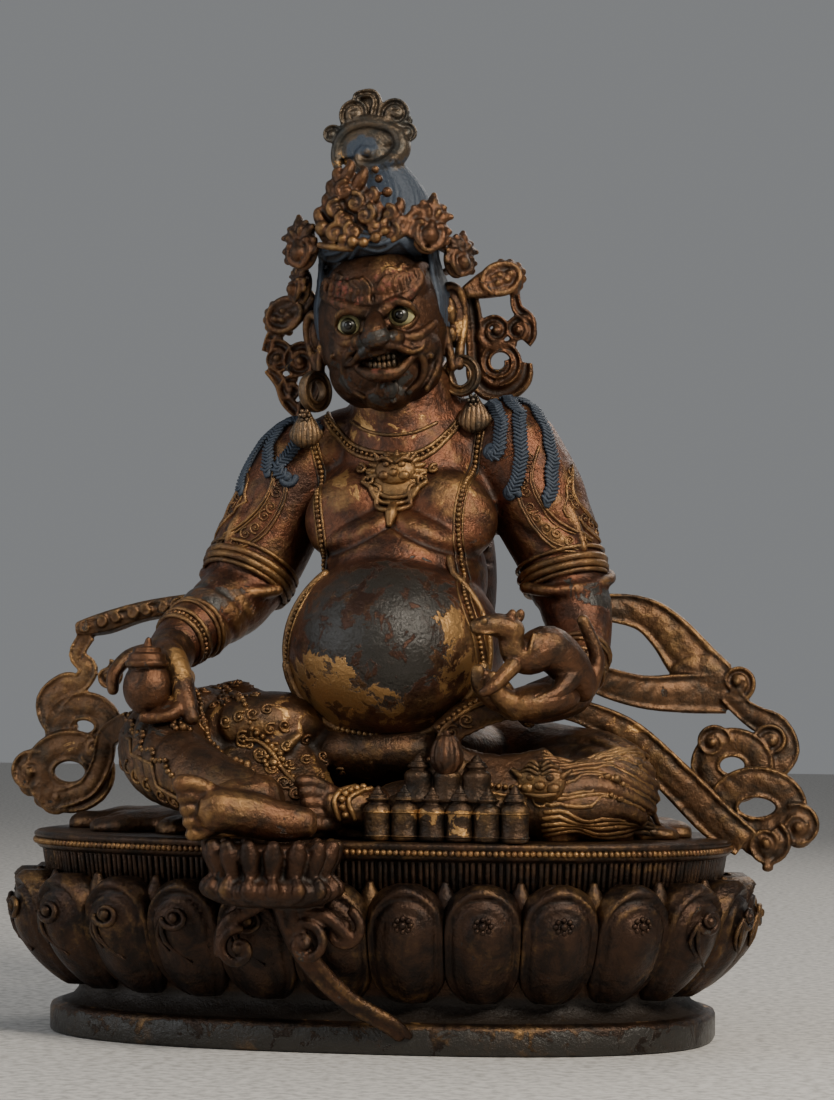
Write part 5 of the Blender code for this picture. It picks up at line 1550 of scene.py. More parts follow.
class BuildSleeveBorders(bpy.types.Operator):
    """Builds the embroidered borders of the sleeves, the cuffs and the bracelets"""
    bl_idname = "jambhala.sleeves"
    bl_label = "Sleeve borders"

    def execute(self, context):
        tree = tree_of(part("body"))
        bm = bmesh.new()
        borders = (
            [(-34, -6, 117), (-33, -12, 108), (-37, -14, 99), (-45, -13, 92), (-53, -9, 88)],
            [(-42, -2, 113), (-45, -6, 106), (-51, -5, 99), (-57, 0, 94)],
            [(46, -6, 117), (46, -12, 108), (50, -13, 99), (57, -10, 93), (66, -5, 90)],
            [(55, 0, 112), (58, -5, 104), (64, -3, 98), (69, 2, 95)],
        )
        for path, s in zip(borders, (-1, -1, 1, 1)):
            for shift, radius in ((-3.8, 0.55), (3.8, 0.55), (-2.7, 0.35), (2.7, 0.35)):
                laid_line(bm, tree, [(x + s * shift * 0.6, y, z + shift * 0.8) for x, y, z in path], radius, 0.15)
            for i, place in enumerate(spaced(smooth_path(path, 6), 4.2)):
                hand = 1 if i % 2 else -1
                laid_scroll(bm, tree, (place.x, place.y, place.z + hand * 0.4), 1.9, 1.4, 90 * hand, hand, 0.4)
        cuffs = (((-43.9, -2.5, 82), (-0.32, -0.42, -0.85), 14.5), ((56.1, 1.6, 83), (0.28, -0.19, -0.94), 13.6))
        for centre, axis, radius in cuffs:
            for shift, thick in ((-3.0, 0.7), (0.0, 1.3), (2.3, 1.3), (4.4, 0.8)):
                hoop = hoop_round(centre, axis, (0, 1, 0), radius - 0.12 * shift, shift)
                limb(bm, [(*place, thick) for place in hoop], 8, closed=True, steps=2)
        wrists = (((63.6, -16, 53), (0.05, -0.75, -0.66), 8.6), ((-57.5, -28, 62), (-0.4, -0.8, -0.45), 9.2))
        for centre, axis, radius in wrists:
            for shift, thick in ((-5.0, 0.9), (-3.2, 0.7), (1.2, 0.8), (4.4, 0.9)):
                laid_line(bm, tree, hoop_round(centre, axis, (0, 0, 1), radius, shift, 1), thick, 0.3, steps=1)
            laid_beads(bm, tree, hoop_round(centre, axis, (0, 0, 1), radius, 2.8, 1), 0.8, 0.3)
        cast("sleeve_borders", bm, "sleeve_gilding", "figure")
        return {"FINISHED"}


# Legs and cloth

def hanging_reach():
    sizes = bpy.context.scene.statue_sizes
    return (sizes.base_depth + 0.030) / 2 / unit() / 88


def folded_reach():
    sizes = bpy.context.scene.statue_sizes
    return (sizes.base_depth / 2 - 0.0045 - 2 * 0.0043) / unit() / 60


def reached(stations, share):
    """Stations with their forward reach changed by a share."""
    return [(x, y * share, *rest) for x, y, *rest in stations]


HANGING_LEG = [(-8, 4, 20, 23), (-35, -15, 24, 20), (-58, -38, 28, 16.5), (-55, -54, 22, 13), (-42, -68, 17, 10.5),
               (-26, -80, 13, 8)]
FOLDED_LEG = [(22, 4, 20, 23), (50, -8, 17, 19), (73, -22, 15, 17), (66, -37, 12, 13.5), (40, -45, 11, 10.5),
              (14, -50, 9, 8.5)]


class BuildLegs(bpy.types.Operator):
    """Builds the legs in their skirts, and the cloth that pools round them"""
    bl_idname = "jambhala.legs"
    bl_label = "Legs and skirts"

    def execute(self, context):
        bm = bmesh.new()
        limb(bm, reached(HANGING_LEG, hanging_reach()), 24)
        limb(bm, reached(FOLDED_LEG, folded_reach()), 24)
        blob(bm, (6, 14, 20), (42, 36, 24), detail=4)
        blob(bm, (6, -10, 26), (38, 36, 14), detail=4)
        blob(bm, (-34, -28, 30), (27, 24, 13), (-12, -8, 0), detail=4)
        band(bm, [(-56, -20, 41, 8), (-44, -33, 36, 14), (-31, -44, 26, 17), (-19, -52, 14, 15), (-10, -56, 6, 10)], 9,
             facing=(0.25, -0.72, 0.65))
        # Pools of cloth, laid flat in waves round the seat
        for k in range(22):
            a = 2 * pi * k / 22
            wobble = 1 + 0.05 * sin(3.0 * k)
            x, y = 92 * wobble * cos(a), 50 * wobble * sin(a)
            fold = [(x * 0.6, y * 0.6 - 2, 2.4, 9.5), (x * 0.8, y * 0.8 - 2, 2.8, 10.0),
                    (x * 0.98, y * 0.98 - 2, 1.6, 8.4)]
            limb(bm, fold, 12, steps=3, flat=0.46, facing=(0, 0, 1))
        blob(bm, (2, -2, 1), (86, 49, 5.5), detail=4)
        # Skirt flaps that hang over the lap and the shins
        band(bm, [(26, -48, 31, 5), (36, -42, 38, 7), (45, -30, 40, 6), (50, -22, 36, 4)], 3.4,
             facing=(0.2, -0.7, 0.7))
        band(bm, [(-20, -50, 26, 8), (-34, -42, 34, 10), (-46, -28, 41, 10), (-56, -18, 40, 6)], 3.4,
             facing=(-0.3, -0.7, 0.7))
        band(bm, [(26, -50, 28, 5), (34, -50, 22, 7), (46, -50, 20, 8), (60, -44, 24, 6)], 3.0, facing=(0, -0.8, 0.6))

        def carve(places, normals):
            height = waves(places, (0.25, 0.2, 0.95), 5.2, 0.75, (72, -22, 14), (30, 34, 22), 4)
            height += waves(places, (0.8, -0.5, 0.3), 6.0, 0.7, (-56, -44, 24), (26, 34, 22), 3)
            height += waves(places, (0.9, 0.3, 0.2), 7.0, 0.6, (0, 30, 20), (60, 30, 30), 3)
            pool = np.clip((9 - places[:, 2]) / 4, 0, 1)
            height += pool * 0.5 * np.sin(places[:, 0] * 0.42 + 2 * np.sin(places[:, 1] * 0.12))
            return height

        legs = piece("legs_and_skirts", bm, fused=0.95, carve=carve)
        flatten_below(legs, BASE_TOP + SEAT_GAP)
        # The soot patch on the hanging knee is painted shade.
        finish_piece(legs, statue_metal("skirt_bronze"), [
            ("gilt", (-30, -44, 30), (26, 26, 18), 0.25), ("gilt", (-42, -74, 14), (20, 18, 12), 0.2),
            ("gilt", (4, -50, 20), (34, 20, 12), 0.3), ("gilt", (84, -20, 16), (14, 22, 12), 0.12),
            ("soot", (-60, -50, 30), (14, 16, 14), 0.4)])
        return {"FINISHED"}


def flatten_below(obj, height):
    """Cuts a piece off flat at its seat and closes the cut."""
    bm = bmesh.new()
    bm.from_mesh(obj.data)
    bmesh.ops.bisect_plane(bm, geom=[*bm.verts, *bm.edges, *bm.faces], plane_co=(0, 0, height),
                           plane_no=(0, 0, -1), clear_outer=True)
    bmesh.ops.holes_fill(bm, edges=[e for e in bm.edges if e.is_boundary], sides=0)
    bmesh.ops.triangulate(bm, faces=[f for f in bm.faces if len(f.verts) > 4])
    bmesh.ops.recalc_face_normals(bm, faces=bm.faces)
    bm.to_mesh(obj.data)
    bm.free()


class BuildSkirtOrnament(bpy.types.Operator):
    """Builds the pearl borders, scrolls, rosettes and the beast mask on the skirts"""
    bl_idname = "jambhala.skirt_ornament"
    bl_label = "Skirt ornament"

    def execute(self, context):
        tree = tree_of(part("legs_and_skirts"), part("body"))
        bm = bmesh.new()
        for path in (
            [(-57, -30, 42), (-50, -44, 36), (-40, -56, 28), (-26, -62, 18), (-16, -64, 12)],
            [(-48, -24, 44), (-40, -36, 40), (-30, -48, 32), (-18, -56, 22), (-9, -58, 14)],
            [(-66, -36, 34), (-62, -52, 28), (-50, -66, 20), (-36, -78, 14)],
            [(26, -48, 33), (34, -44, 41), (44, -32, 43), (50, -26, 38)],
            [(24, -52, 24), (36, -54, 18), (50, -54, 16), (60, -50, 20)],
        ):
            laid_beads(bm, tree, path, 0.95, 0.5, 2.1)
            laid_line(bm, tree, [(x, y, z - 2.2) for x, y, z in path], 0.8, 0.4)
            for i, place in enumerate(spaced(smooth_path(path, 5), 6.0)):
                hand = 1 if i % 2 else -1
                laid_scroll(bm, tree, (place.x, place.y - 2, place.z - 5.6), 2.5, 1.4, 60 * hand, hand, 0.6)
        for x, y, z in ((-24, -52, 22), (-52, -58, 30), (-30, -74, 18), (76, -40, 16)):
            for a in round_angles(8):
                place = lay(tree, [(x + 2.6 * cos(a), y, z + 2.6 * sin(a))], 0.4)[0]
                bead(bm, place, 1.0)
            bead(bm, lay(tree, [(x, y, z)], 0.7)[0], 1.5)
        # Strands that wave over the knee
        for k in range(17):
            z = 3 + 1.75 * k
            strand = []
            for j in range(9):
                t = j / 8
                strand.append((58 + 32 * t, -48 + 30 * t * t, z - 8 * (t - 0.35) ** 2 + 1.0 * sin(t * 8 + k * 0.5)))
            laid_line(bm, tree, strand, 0.9, -0.4, steps=2)
        # Beast mask on the shin
        x, y, z = lay(tree, [(58, -56, 20)], 0.6)[0]
        blob(bm, (x, y, z), (7.4, 3.4, 6.6))
        for s in (-1, 1):
            blob(bm, (x + s * 2.9, y - 2.9, z + 1.4), (1.3, 0.9, 1.1), detail=2)
            blob(bm, (x + s * 3.8, y - 2.2, z - 1.8), (2.3, 1.6, 1.8), detail=2)
            for lift, reach in ((3.0, 5.6), (4.4, 5.0), (5.6, 3.8)):
                limb(bm, [(x + s * 0.8, y - 3.0, z + lift - 0.6, 0.7),
                          (x + s * reach * 0.6, y - 2.4, z + lift + 0.6, 0.8),
                          (x + s * reach, y - 1.2, z + lift - 0.2, 0.5)], 6)
            limb(bm, [(x + s * 6.0, y - 0.8, z + 1.6, 1.2), (x + s * 8.6, y, z + 3.6, 0.7)], 8)
        blob(bm, (x, y - 3.6, z - 1.0), (1.9, 1.4, 1.5), detail=2)
        limb(bm, [(x - 4.4, y - 2.4, z - 3.4, 0.7), (x, y - 3.2, z - 4.0, 0.9),
                  (x + 4.4, y - 2.4, z - 3.4, 0.7)], 8)
        # Embroidery over the left skirt: rows of small scrolls between the borders
        for row in range(4):
            for k in range(7):
                t = k / 6
                x, z = -50 + 32 * t + 4.2 * row, 44 - 28 * t + 1.2 * row
                hand = 1 if (k + row) % 2 else -1
                for place in drape(tree, [(x, z)]):
                    laid_scroll(bm, tree, place, 2.0, 1.3, 60 * hand, hand, 0.55)
        cast("skirt_ornament", bm, "skirt_gilding", "figure")
        return {"FINISHED"}


class BuildFeet(bpy.types.Operator):
    """Builds the two bare feet, with their toes and anklets"""
    bl_idname = "jambhala.feet"
    bl_label = "Feet"

    def execute(self, context):
        bm = bmesh.new()
        share = hanging_reach()
        limb(bm, reached([(-22, -80, 12, 8), (-28, -85, 11, 7.2)], share), 16)
        limb(bm, reached([(-8, -84, 5.6, 5.0), (-14, -86, 6, 6.0), (-22, -89, 8, 6.6), (-31, -93, 9.5, 6.6)], share),
             16)
        for k in range(5):
            z = 16.6 - 3.6 * k
            size = (3.0, 2.6, 2.5, 2.3, 2.1)[k]
            limb(bm, reached([(-31, -92, 13 - 2.2 * k, size), (-36.5, -95.5 + 0.6 * k, z, size * 0.9),
                              (-40.5 + 0.6 * k, -97 + 0.8 * k, z + 0.2, size)], share), 12)
        share = folded_reach()
        limb(bm, reached([(14, -50, 8, 7.4), (4, -56, 9, 6.6), (-4, -61, 10, 5.6)], share), 16)
        for k in range(5):
            z = 16.8 - 3.1 * k
            limb(bm, reached([(-3, -60, 13 - 2 * k, 2.6), (-8.4 + 0.5 * k, -64.5, z, 2.2),
                              (-12 + 0.8 * k, -66.5, z + 0.2, 2.3)], share), 12)
        feet = piece("feet", bm, fused=0.5)
        flatten_below(feet, BASE_TOP + SEAT_GAP)
        # The soot patch darkens the heel over the footrest lotus.
        finish_piece(feet, statue_metal("rubbed_gilding"), [
            ("gilt", (-30, -92, 10), (16, 12, 12), 0.18), ("soot", (-14, -84, 4), (8, 8, 5), 0.3)])
        bm = bmesh.new()
        tree = tree_of(part("feet"), part("legs_and_skirts"))
        points = [(6, -60, 22), (3, -66, 18), (1, -68, 12), (2, -66, 5)]
        laid_beads(bm, tree, points, 1.2, 0.6)
        for shift in (2.6, -2.6):
            laid_line(bm, tree, [(x + shift, y, z) for x, y, z in points], 0.9, 0.4)
        cast("anklets", bm, "ornament_gilding", "figure")
        return {"FINISHED"}


# Hands and what they hold

class BuildHands(bpy.types.Operator):
    """Builds the hands, the citron and the treasure mongoose"""
    bl_idname = "jambhala.hands"
    bl_label = "Hands, citron and mongoose"

    def execute(self, context):
        bm = bmesh.new()
        limb(bm, [(-60, -33, 58, 7.4), (-61, -41, 53, 7.8), (-60, -47, 49, 6.8)], 16)
        limb(bm, [(-63, -40, 57, 4.2), (-58, -47, 54, 4.8), (-53.6, -52, 47.6, 4.2), (-50.6, -56, 41, 3.4),
                  (-48, -58, 35.6, 2.4)], 14)
        for k in range(3):
            limb(bm, [(-53 - 3 * k, -46, 48 - k, 2.8), (-52 - 3 * k, -54, 42 - k, 2.5),
                      (-53 - 3 * k, -60, 37 - 0.6 * k, 2.2), (-57 - 2.4 * k, -62, 35.6, 1.8)], 12)
        limb(bm, [(-66, -40, 56, 2.8), (-71.5, -45, 54, 2.5), (-75, -49, 49, 2.2), (-74.5, -52, 44, 1.9)], 12)
        limb(bm, [(63, -24, 48, 7.0), (63, -31, 45, 7.4), (60, -38, 43, 7.2), (54, -44, 41, 6.4)], 16)
        for k in range(4):
            limb(bm, [(62 - 4 * k, -36 - 3 * k, 42, 3.0), (57 - 4.2 * k, -44 - 3.4 * k, 38 + k, 2.8),
                      (51 - 3.6 * k, -53 - 2.6 * k, 40 + 2 * k, 2.5),
                      (47 - 2.4 * k, -58 - 1.4 * k, 46 + 1.5 * k, 2.1)], 12)
        limb(bm, [(66, -30, 47, 3.2), (69, -38, 48, 2.8), (67, -45, 51, 2.3)], 12)
        blob(bm, (56, -50, 41.5), (13.5, 9.5, 5.6), (0, -8, 35))
        limb(bm, [(44.4, -62, 49, 1.5), (46, -60.5, 43.4, 2.8), (51, -56, 39.6, 4.0)], 12)
        cast("hands", bm, "rubbed_gilding", "figure",
             [("gilt", (-54, -50, 47), (8, 12, 14), 0.55), ("gilt", (60, -44, 42), (14, 14, 8), 0.15)],
             fused=0.5)

        bm = bmesh.new()
        blob(bm, (-62.5, -56, 44.6), (7.6, 6.8, 8.6))
        for z, size, thick in ((51.8, 5.6, 1.2), (54.0, 4.7, 1.1), (56.0, 3.4, 1.0)):
            hoop = [(-62.5 + size * cos(a), -57 + size * sin(a), z, thick)
                    for a in round_angles(12)]
            limb(bm, hoop, 8, closed=True, steps=2)
        blob(bm, (-62.5, -57, 54), (3.4, 3.2, 3.6))
        limb(bm, [(-62.5, -57, 56.6, 1.6), (-62, -57.5, 59, 1.0)], 8)
        cast("citron", bm, "citron_bronze", "figure", fused=0.45)

        bm = bmesh.new()
        limb(bm, [(68, -41, 46, 4.6), (65, -46, 52, 6.2), (59, -51, 57.5, 6.8), (53.4, -55, 55, 5.8),
                  (50, -58.5, 56, 4.2), (49, -60, 60.6, 3.7)], 16)
        limb(bm, [(49.4, -60.4, 62.4, 4.0), (45.8, -62.8, 63.8, 3.7), (42.4, -65.2, 63.8, 3.0),
                  (40.2, -66.6, 63.2, 2.5)], 14)
        blob(bm, (49.6, -62.0, 66.6), (1.5, 1.1, 2.2), (0, 14, 0))
        blob(bm, (51.4, -57.4, 66.8), (1.5, 1.1, 2.2), (0, 14, 0))
        limb(bm, [(39.4, -68.8, 62.2, 0.5), (43, -67.4, 61.4, 0.6), (46, -65.6, 62.0, 0.5)], 6)
        blob(bm, (42.4, -67.8, 65.0), (1.1, 1.0, 1.0), detail=2)
        limb(bm, [(50, -61, 52, 2.7), (45, -65, 46, 2.1), (42, -66, 44, 1.5)], 10)
        limb(bm, [(66, -48, 50, 4.0), (62, -54, 44, 2.6), (57, -58, 42, 1.8)], 10)
        limb(bm, [(70, -40, 46, 3), (72, -38, 55, 2.4), (68, -40, 66, 2.0)], 10)
        for k in range(9):
            a = k / 8
            x, y, z = 55 + 11 * a, -54.5 + 8.5 * a, 57 + 2.0 * sin(a * 3.0) - 4.5 * a
            limb(bm, [(x - 0.6, y - 4.6, z - 3.6, 0.6), (x, y - 5.8, z, 0.7), (x + 0.6, y - 3.6, z + 4.4, 0.6)], 6)
        cast("mongoose", bm, "mongoose_gilding", "figure", fused=0.45)
        return {"FINISHED"}


# The scarves

class BuildScarves(bpy.types.Operator):
    """Builds the two flying scarves, with their rolled borders and cloud curls"""
    bl_idname = "jambhala.scarves"
    bl_label = "Scarves"

    def execute(self, context):
        bm = bmesh.new()
        band(bm, [(60, 4, 70.5, 3.2), (70, 10, 71.6, 4.6), (81, 12, 69.6, 5.6), (89, 12, 63.5, 6.8), (96, 12, 55, 8.0),
                  (104, 11, 48, 7.6)], 3.4, profile=RIMMED_BAND)
        band(bm, [(63, -12, 52, 3.6), (70, -4, 48.2, 4.8), (82, 4, 45.0, 5.4), (95, 9, 44.8, 6.4),
                  (107, 11, 44.8, 6.4)], 3.4, profile=RIMMED_BAND)
        blob(bm, (99, 10.6, 49), (10.5, 1.8, 8.0))
        rolled(bm, (110.5, 10, 48.5), 5.0, 1.1, 250, 1, 2.2, 1.4, 3.2, 1.6)
        band(bm, [(108, 10, 45, 3.6), (112, 10, 40.4, 3.4), (117, 9, 37, 4.0), (122.6, 8, 34.2, 4.6),
                  (125.6, 7, 27.2, 4.8), (122, 6, 21, 4.2)], 3.2, profile=RIMMED_BAND)
        ring(bm, (109.5, 5, 22.4), 8.4, 7.2, 4.7, 3.2, profile=RIMMED_BAND)
        ring(bm, (117.5, 2, 9.6), 10.6, 7.8, 5.0, 3.2, profile=RIMMED_BAND)
        rolled(bm, (103.4, 4.4, 29.4), 4.4, 1.1, 0, 1, 2.2, 1.5, 3.0, 1.5)
        rolled(bm, (121.6, 5.6, 30), 4.2, 1.1, 180, -1, 2.2, 1.5, 3.0, 1.5)
        rolled(bm, (130.2, 1, 3.8), 5.4, 1.2, 120, -1, 2.6, 1.7, 3.2, 1.8)
        rolled(bm, (120.6, -1, -1.4), 5.8, 1.2, 60, -1, 2.6, 1.7, 3.2, 1.8)
        rolled(bm, (109.4, 0, 1.8), 4.2, 1.1, 60, 1, 2.2, 1.5, 3.0, 1.5)
        blob(bm, (130.4, 1.4, 4), (5.4, 1.6, 7.0))
        blob(bm, (120.5, -0.6, -1.6), (8.0, 1.6, 4.6))
        limb(bm, [(121, -1, -5, 1.6), (121, -1, -8.5, 1.3)], 10)
        blob(bm, (121, -1, -8.8), (1.9, 1.9, 1.4), detail=2)
        band(bm, [(58, -20, 40, 3.4), (66, -14, 38, 4.0), (79, -8, 31, 5.2), (94, -4, 16.6, 6.0), (105, -2, 5.6, 6.2),
                  (114, -1, -1.2, 5.2)], 3.4, profile=RIMMED_BAND)

        def carve(places, normals):
            x, z = places[:, 0], places[:, 2]
            swirl = np.sin(0.62 * x + 1.9 * np.sin(0.34 * z)) * np.sin(0.7 * z + 1.7 * np.sin(0.41 * x))
            return 0.2 * swirl * np.clip(np.abs(normals[:, 1]) * 2 - 0.6, 0, 1)

        right = piece("scarf_right_cast", bm, fused=0.5, smoothing=1, carve=carve)
        metal = statue_metal("scarf_gilding")
        finish_piece(right, metal, [
            ("gilt", (80, -6, 30), (20, 14, 14), 0.28), ("gilt", (88, 10, 62), (18, 10, 14), 0.12)],
            replaces=("scarf_right",))

        bm = bmesh.new()
        band(bm, [(-50, 2, 72, 3.0), (-63, 8, 72, 3.2), (-81, 9, 69.5, 3.0), (-94, 8, 65.5, 3.4),
                  (-104, 7, 63.5, 2.4)], 7.6)
        for shift in (-3.2, 0, 3.2):
            limb(bm, [(-52, 2 + shift, 74.4, 1.0), (-63, 8 + shift, 74.8, 1.0), (-81, 9 + shift, 72.2, 1.0),
                      (-94, 8 + shift, 68.6, 1.0), (-103, 7 + shift * 0.6, 65.6, 0.8)], 8)
        for k in range(10):
            x = -55 - 5 * k
            y, z = 4.4 + 4 * sin(k / 8 * 2.4), 72 - 0.12 * (k - 1) ** 2
            limb(bm, spiral((x, y - 3.6, z), 2.0, 1.3, 90, 1 if k % 2 else -1, 0.7, 0.5), 6, steps=1)
        band(bm, [(-100, 6, 62, 2.8), (-103.5, 6, 55.5, 2.8), (-99.6, 6, 51, 3.2), (-102, 6, 46.5, 3.4),
                  (-107, 6, 45.0, 4.8), (-112, 6, 40, 5.2), (-110, 6, 33.5, 4.8), (-104, 6, 35, 4.0)], 3.2,
                  profile=RIMMED_BAND)
        ring(bm, (-101.0, 6, 32), 8.4, 6.8, 4.8, 3.2, profile=RIMMED_BAND)
        ring(bm, (-105.0, 5, 17.5), 10.2, 8.4, 5.2, 3.2, profile=RIMMED_BAND)
        rolled(bm, (-92.6, 5, 48.6), 3.8, 1.1, 90, -1, 2.0, 1.4, 3.0, 1.4)
        rolled(bm, (-118.2, 5, 17.0), 5.4, 1.2, 60, 1, 2.6, 1.7, 3.2, 1.8)
        rolled(bm, (-96.4, 4.6, 24.6), 3.8, 1.1, 200, 1, 2.0, 1.4, 3.0, 1.4)
        blob(bm, (-118.4, 5.4, 16.4), (5.0, 1.6, 7.4))
        rolled(bm, (-109, 5, 9.0), 4.8, 1.2, 120, 1, 2.3, 1.6, 3.0, 1.5)
        blob(bm, (-109, 5.4, 8.2), (8.4, 1.6, 3.8))
        band(bm, [(-110, 5, 8.0, 3.2), (-99, 4, 12, 3.4), (-93, 1, 20.5, 3.6), (-89, -6, 29, 3.8),
                  (-78, -20, 34, 3.6)], 3.2, profile=RIMMED_BAND)
        left = piece("scarf_left_cast", bm, fused=0.5, smoothing=1, carve=carve)
        finish_piece(left, metal, [("gilt", (-100, 6, 34), (16, 10, 16), 0.15)], replaces=("scarf_left",))
        return {"FINISHED"}


# The treasure vases

VASE_MIDDLE = 31


def vase(bm, x, y, z, radius, height):
    """A jar with a straight body, a shoulder, a neck and a ringed, pointed lid."""
    steps = ((0.86, 0), (0.97, 0.03), (1.0, 0.09), (0.95, 0.12), (0.96, 0.3), (0.97, 0.48), (1.0, 0.53), (0.98, 0.58),
             (0.84, 0.64), (0.62, 0.675), (0.58, 0.70), (0.74, 0.725), (0.78, 0.75), (0.70, 0.775), (0.60, 0.80),
             (0.66, 0.815), (0.52, 0.845), (0.36, 0.875), (0.40, 0.89), (0.26, 0.92), (0.2, 0.96), (0.08, 1.0))
    rings = []
    for share, rise in steps:
        verts = [Vector((x + radius * share * cos(a), y + radius * share * sin(a), z + height * rise))
                 for a in round_angles(28)]
        rings.append(verts)
    skin(bm, rings)


class BuildVases(bpy.types.Operator):
    """Builds the pile of treasure vases with the flaming jewel on top"""
    bl_idname = "jambhala.vases"
    bl_label = "Treasure vases"

    def execute(self, context):
        sizes = context.scene.statue_sizes
        radius, height = 4.3, 16.5
        pitch = radius * 1.9
        row_y = -(sizes.base_depth / 2 / unit() - 4.5) + radius
        bm = bmesh.new()
        for k in range(6):
            vase(bm, VASE_MIDDLE + (k - 2.5) * pitch, row_y, 0.1, radius, height + (0.4 if k % 2 else -0.3))
        for k in range(3):
            vase(bm, VASE_MIDDLE + (k - 1) * pitch * 1.05, row_y + 2.0, height * 0.7, radius * 1.04, height * 0.86)
        blob(bm, (VASE_MIDDLE, row_y + 3, 8), (23, 4.0, 8))
        blob(bm, (VASE_MIDDLE, row_y + 3.6, 17), (12, 3.2, 8))
        for k in range(6):
            for rise, size in ((1.6, 4.3), (8.6, 4.25), (12.4, 3.3)):
                hoop = [(VASE_MIDDLE + (k - 2.5) * pitch + size * cos(a), row_y + size * sin(a), rise, 0.32)
                        for a in round_angles(12)]
                limb(bm, hoop, 6, closed=True, steps=2)
        cast("vase_pile", bm, "vase_dark_bronze", "vases",
             [("gilt", (VASE_MIDDLE, row_y - 4, 8.6), (30, 6, 1.2), 0.5),
              ("gilt", (VASE_MIDDLE, row_y - 4, 4), (30, 6, 4), 0.2)],
             replaces=("treasure_vases",))
        bm = bmesh.new()
        limb(bm, [(VASE_MIDDLE, row_y, 20.6, 2.2), (VASE_MIDDLE, row_y - 0.4, 24.4, 3.1),
                  (VASE_MIDDLE, row_y - 0.4, 28.4, 2.4), (VASE_MIDDLE, row_y, 32.4, 0.7)], 14)
        for k in range(7):
            a = pi * (k / 6) - pi
            petal_line = [(VASE_MIDDLE + 1.6 * cos(a), row_y + 1.6 * sin(a), 20.4, 1.0),
                          (VASE_MIDDLE + 3.9 * cos(a), row_y + 3.6 * sin(a), 23.6, 1.2),
                          (VASE_MIDDLE + 3.6 * cos(a), row_y + 3.4 * sin(a), 28.0, 1.0),
                          (VASE_MIDDLE + 2.2 * cos(a), row_y + 2.0 * sin(a), 31.0, 0.5)]
            limb(bm, petal_line, 8, steps=3)
        cast("flame_jewel", bm, "citron_bronze", "vases", fused=0.4)
        return {"FINISHED"}


# Stage

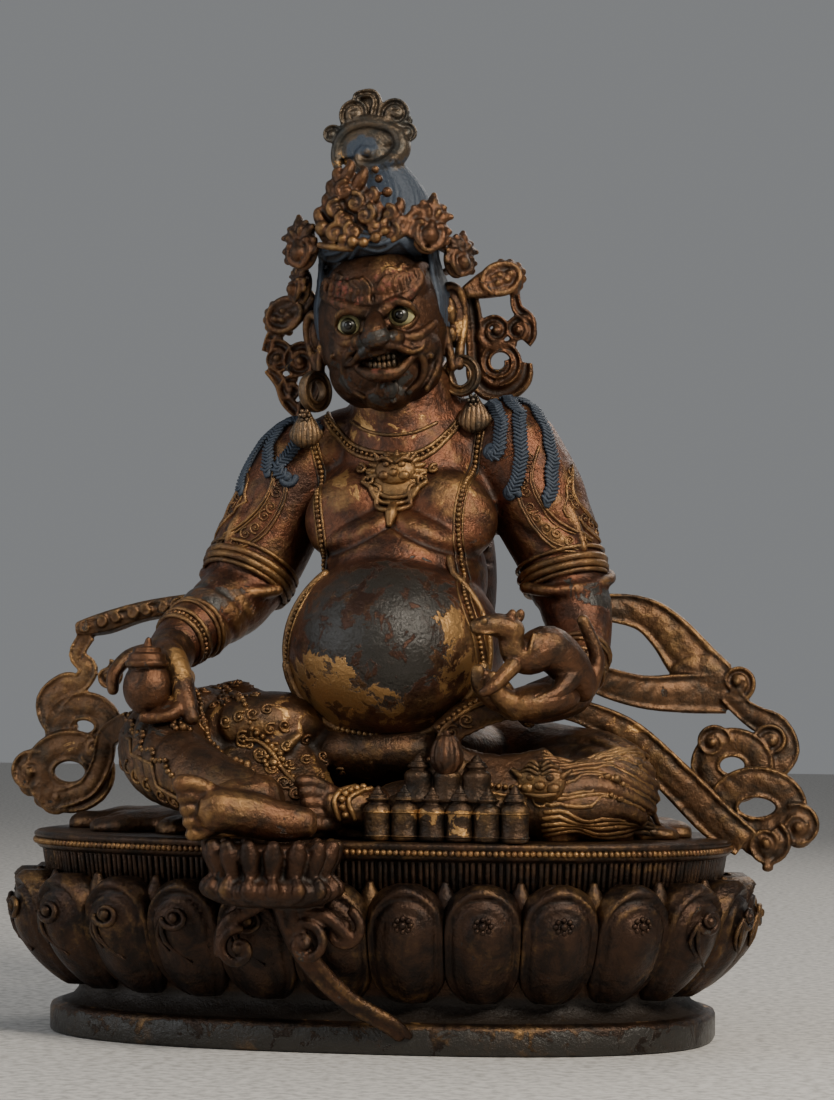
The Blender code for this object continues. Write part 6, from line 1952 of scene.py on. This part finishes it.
class BuildStage(bpy.types.Operator):
    """Builds the plain floor, the soft studio lights and the camera"""
    bl_idname = "jambhala.stage"
    bl_label = "Stage"

    def execute(self, context):
        scene = context.scene
        bm = bmesh.new()
        bmesh.ops.create_grid(bm, x_segments=1, y_segments=1, size=4.0)
        mesh = bpy.data.meshes.new("floor")
        bm.to_mesh(mesh)
        bm.free()
        floor = bpy.data.objects.new("floor", mesh)
        scene.collection.objects.link(floor)
        mesh.materials.append(plain_paint("floor_paint", (0.62, 0.60, 0.57), 0.8))

        def softbox(name, place, target, size, power, colour):
            light = bpy.data.lights.new(name, "AREA")
            light.shape = "RECTANGLE"
            light.size, light.size_y = size
            light.energy = power
            light.color = colour
            lamp = bpy.data.objects.new(name, light)
            lamp.location = place
            lamp.rotation_euler = (Vector(target) - Vector(place)).to_track_quat("-Z", "Y").to_euler()
            scene.collection.objects.link(lamp)

        softbox("key_light", (0.7, -0.75, 0.85), (0, 0, 0.15), (0.36, 0.36), 17, (1.0, 0.92, 0.80))
        softbox("fill_light", (-0.95, -0.6, 0.5), (0, 0, 0.15), (0.8, 0.8), 5, (0.9, 0.95, 1.0))
        softbox("rim_light", (0.35, 0.9, 0.8), (0, 0, 0.2), (0.6, 0.6), 3.5, (1.0, 0.95, 0.88))
        world = bpy.data.worlds.new("studio")
        world.use_nodes = True
        world.node_tree.nodes["Background"].inputs["Color"].default_value = (0.62, 0.64, 0.66, 1)
        world.node_tree.nodes["Background"].inputs["Strength"].default_value = 0.34
        scene.world = world

        azimuth, yaw, pitch, roll = (radians(a) for a in (11, 0.573, 3.0, 0.6))
        distance, height = 0.953, 0.102
        focal_pixels, frame_pixels = 3000, 1100
        place = Vector((sin(azimuth) * distance, -cos(azimuth) * distance, height))
        level = Vector((-sin(azimuth - yaw), cos(azimuth - yaw), 0))
        forward = level * cos(pitch) + Vector((0, 0, 1)) * sin(pitch)
        right = forward.cross(Vector((0, 0, 1))).normalized()
        up = right.cross(forward)
        turned_right = right * cos(roll) + up * sin(roll)
        turned_up = -right * sin(roll) + up * cos(roll)
        camera = bpy.data.cameras.new("camera")
        camera.sensor_width = 36
        camera.lens = focal_pixels / frame_pixels * camera.sensor_width
        camera.clip_start, camera.clip_end = 0.05, 20
        eye = bpy.data.objects.new("camera", camera)
        turn = Matrix((turned_right, turned_up, -forward)).transposed().to_4x4()
        eye.matrix_world = Matrix.Translation(place) @ turn
        scene.collection.objects.link(eye)
        scene.camera = eye
        return {"FINISHED"}


OPERATORS = (BuildStage, BuildPedestal, BuildFootrest, BuildBody, BuildHead, BuildHair, BuildTopknot, BuildCrown,
             BuildJewellery, BuildSleeveBorders, BuildLegs, BuildSkirtOrnament, BuildFeet, BuildHands,
             BuildScarves, BuildVases)


class JambhalaPanel(bpy.types.Panel):
    """Sizes, colours and building steps of the statue"""
    bl_idname = "VIEW3D_PT_jambhala"
    bl_label = "Seated Jambhala"
    bl_space_type = "VIEW_3D"
    bl_region_type = "UI"
    bl_category = "Jambhala"

    def draw(self, context):
        for group in (context.scene.statue_sizes, context.scene.statue_colours):
            box = self.layout.box()
            for name in group.__annotations__:
                box.prop(group, name)
        for operator in OPERATORS:
            self.layout.operator(operator.bl_idname)


CLASSES = (StatueSizes, StatueColours, *OPERATORS, JambhalaPanel)


def register():
    for cls in CLASSES:
        bpy.utils.register_class(cls)
    bpy.types.Scene.statue_sizes = bpy.props.PointerProperty(type=StatueSizes)
    bpy.types.Scene.statue_colours = bpy.props.PointerProperty(type=StatueColours)


def unregister():
    del bpy.types.Scene.statue_colours
    del bpy.types.Scene.statue_sizes
    for cls in reversed(CLASSES):
        bpy.utils.unregister_class(cls)


def main():
    register()
    build = bpy.ops.jambhala
    build.stage()
    build.pedestal()
    build.footrest()
    build.body()
    build.head()
    build.hair()
    build.topknot()
    build.crown()
    build.jewellery()
    build.sleeves()
    build.legs()
    build.skirt_ornament()
    build.feet()
    build.hands()
    build.scarves()
    build.vases()


if __name__ == "__main__":
    main()
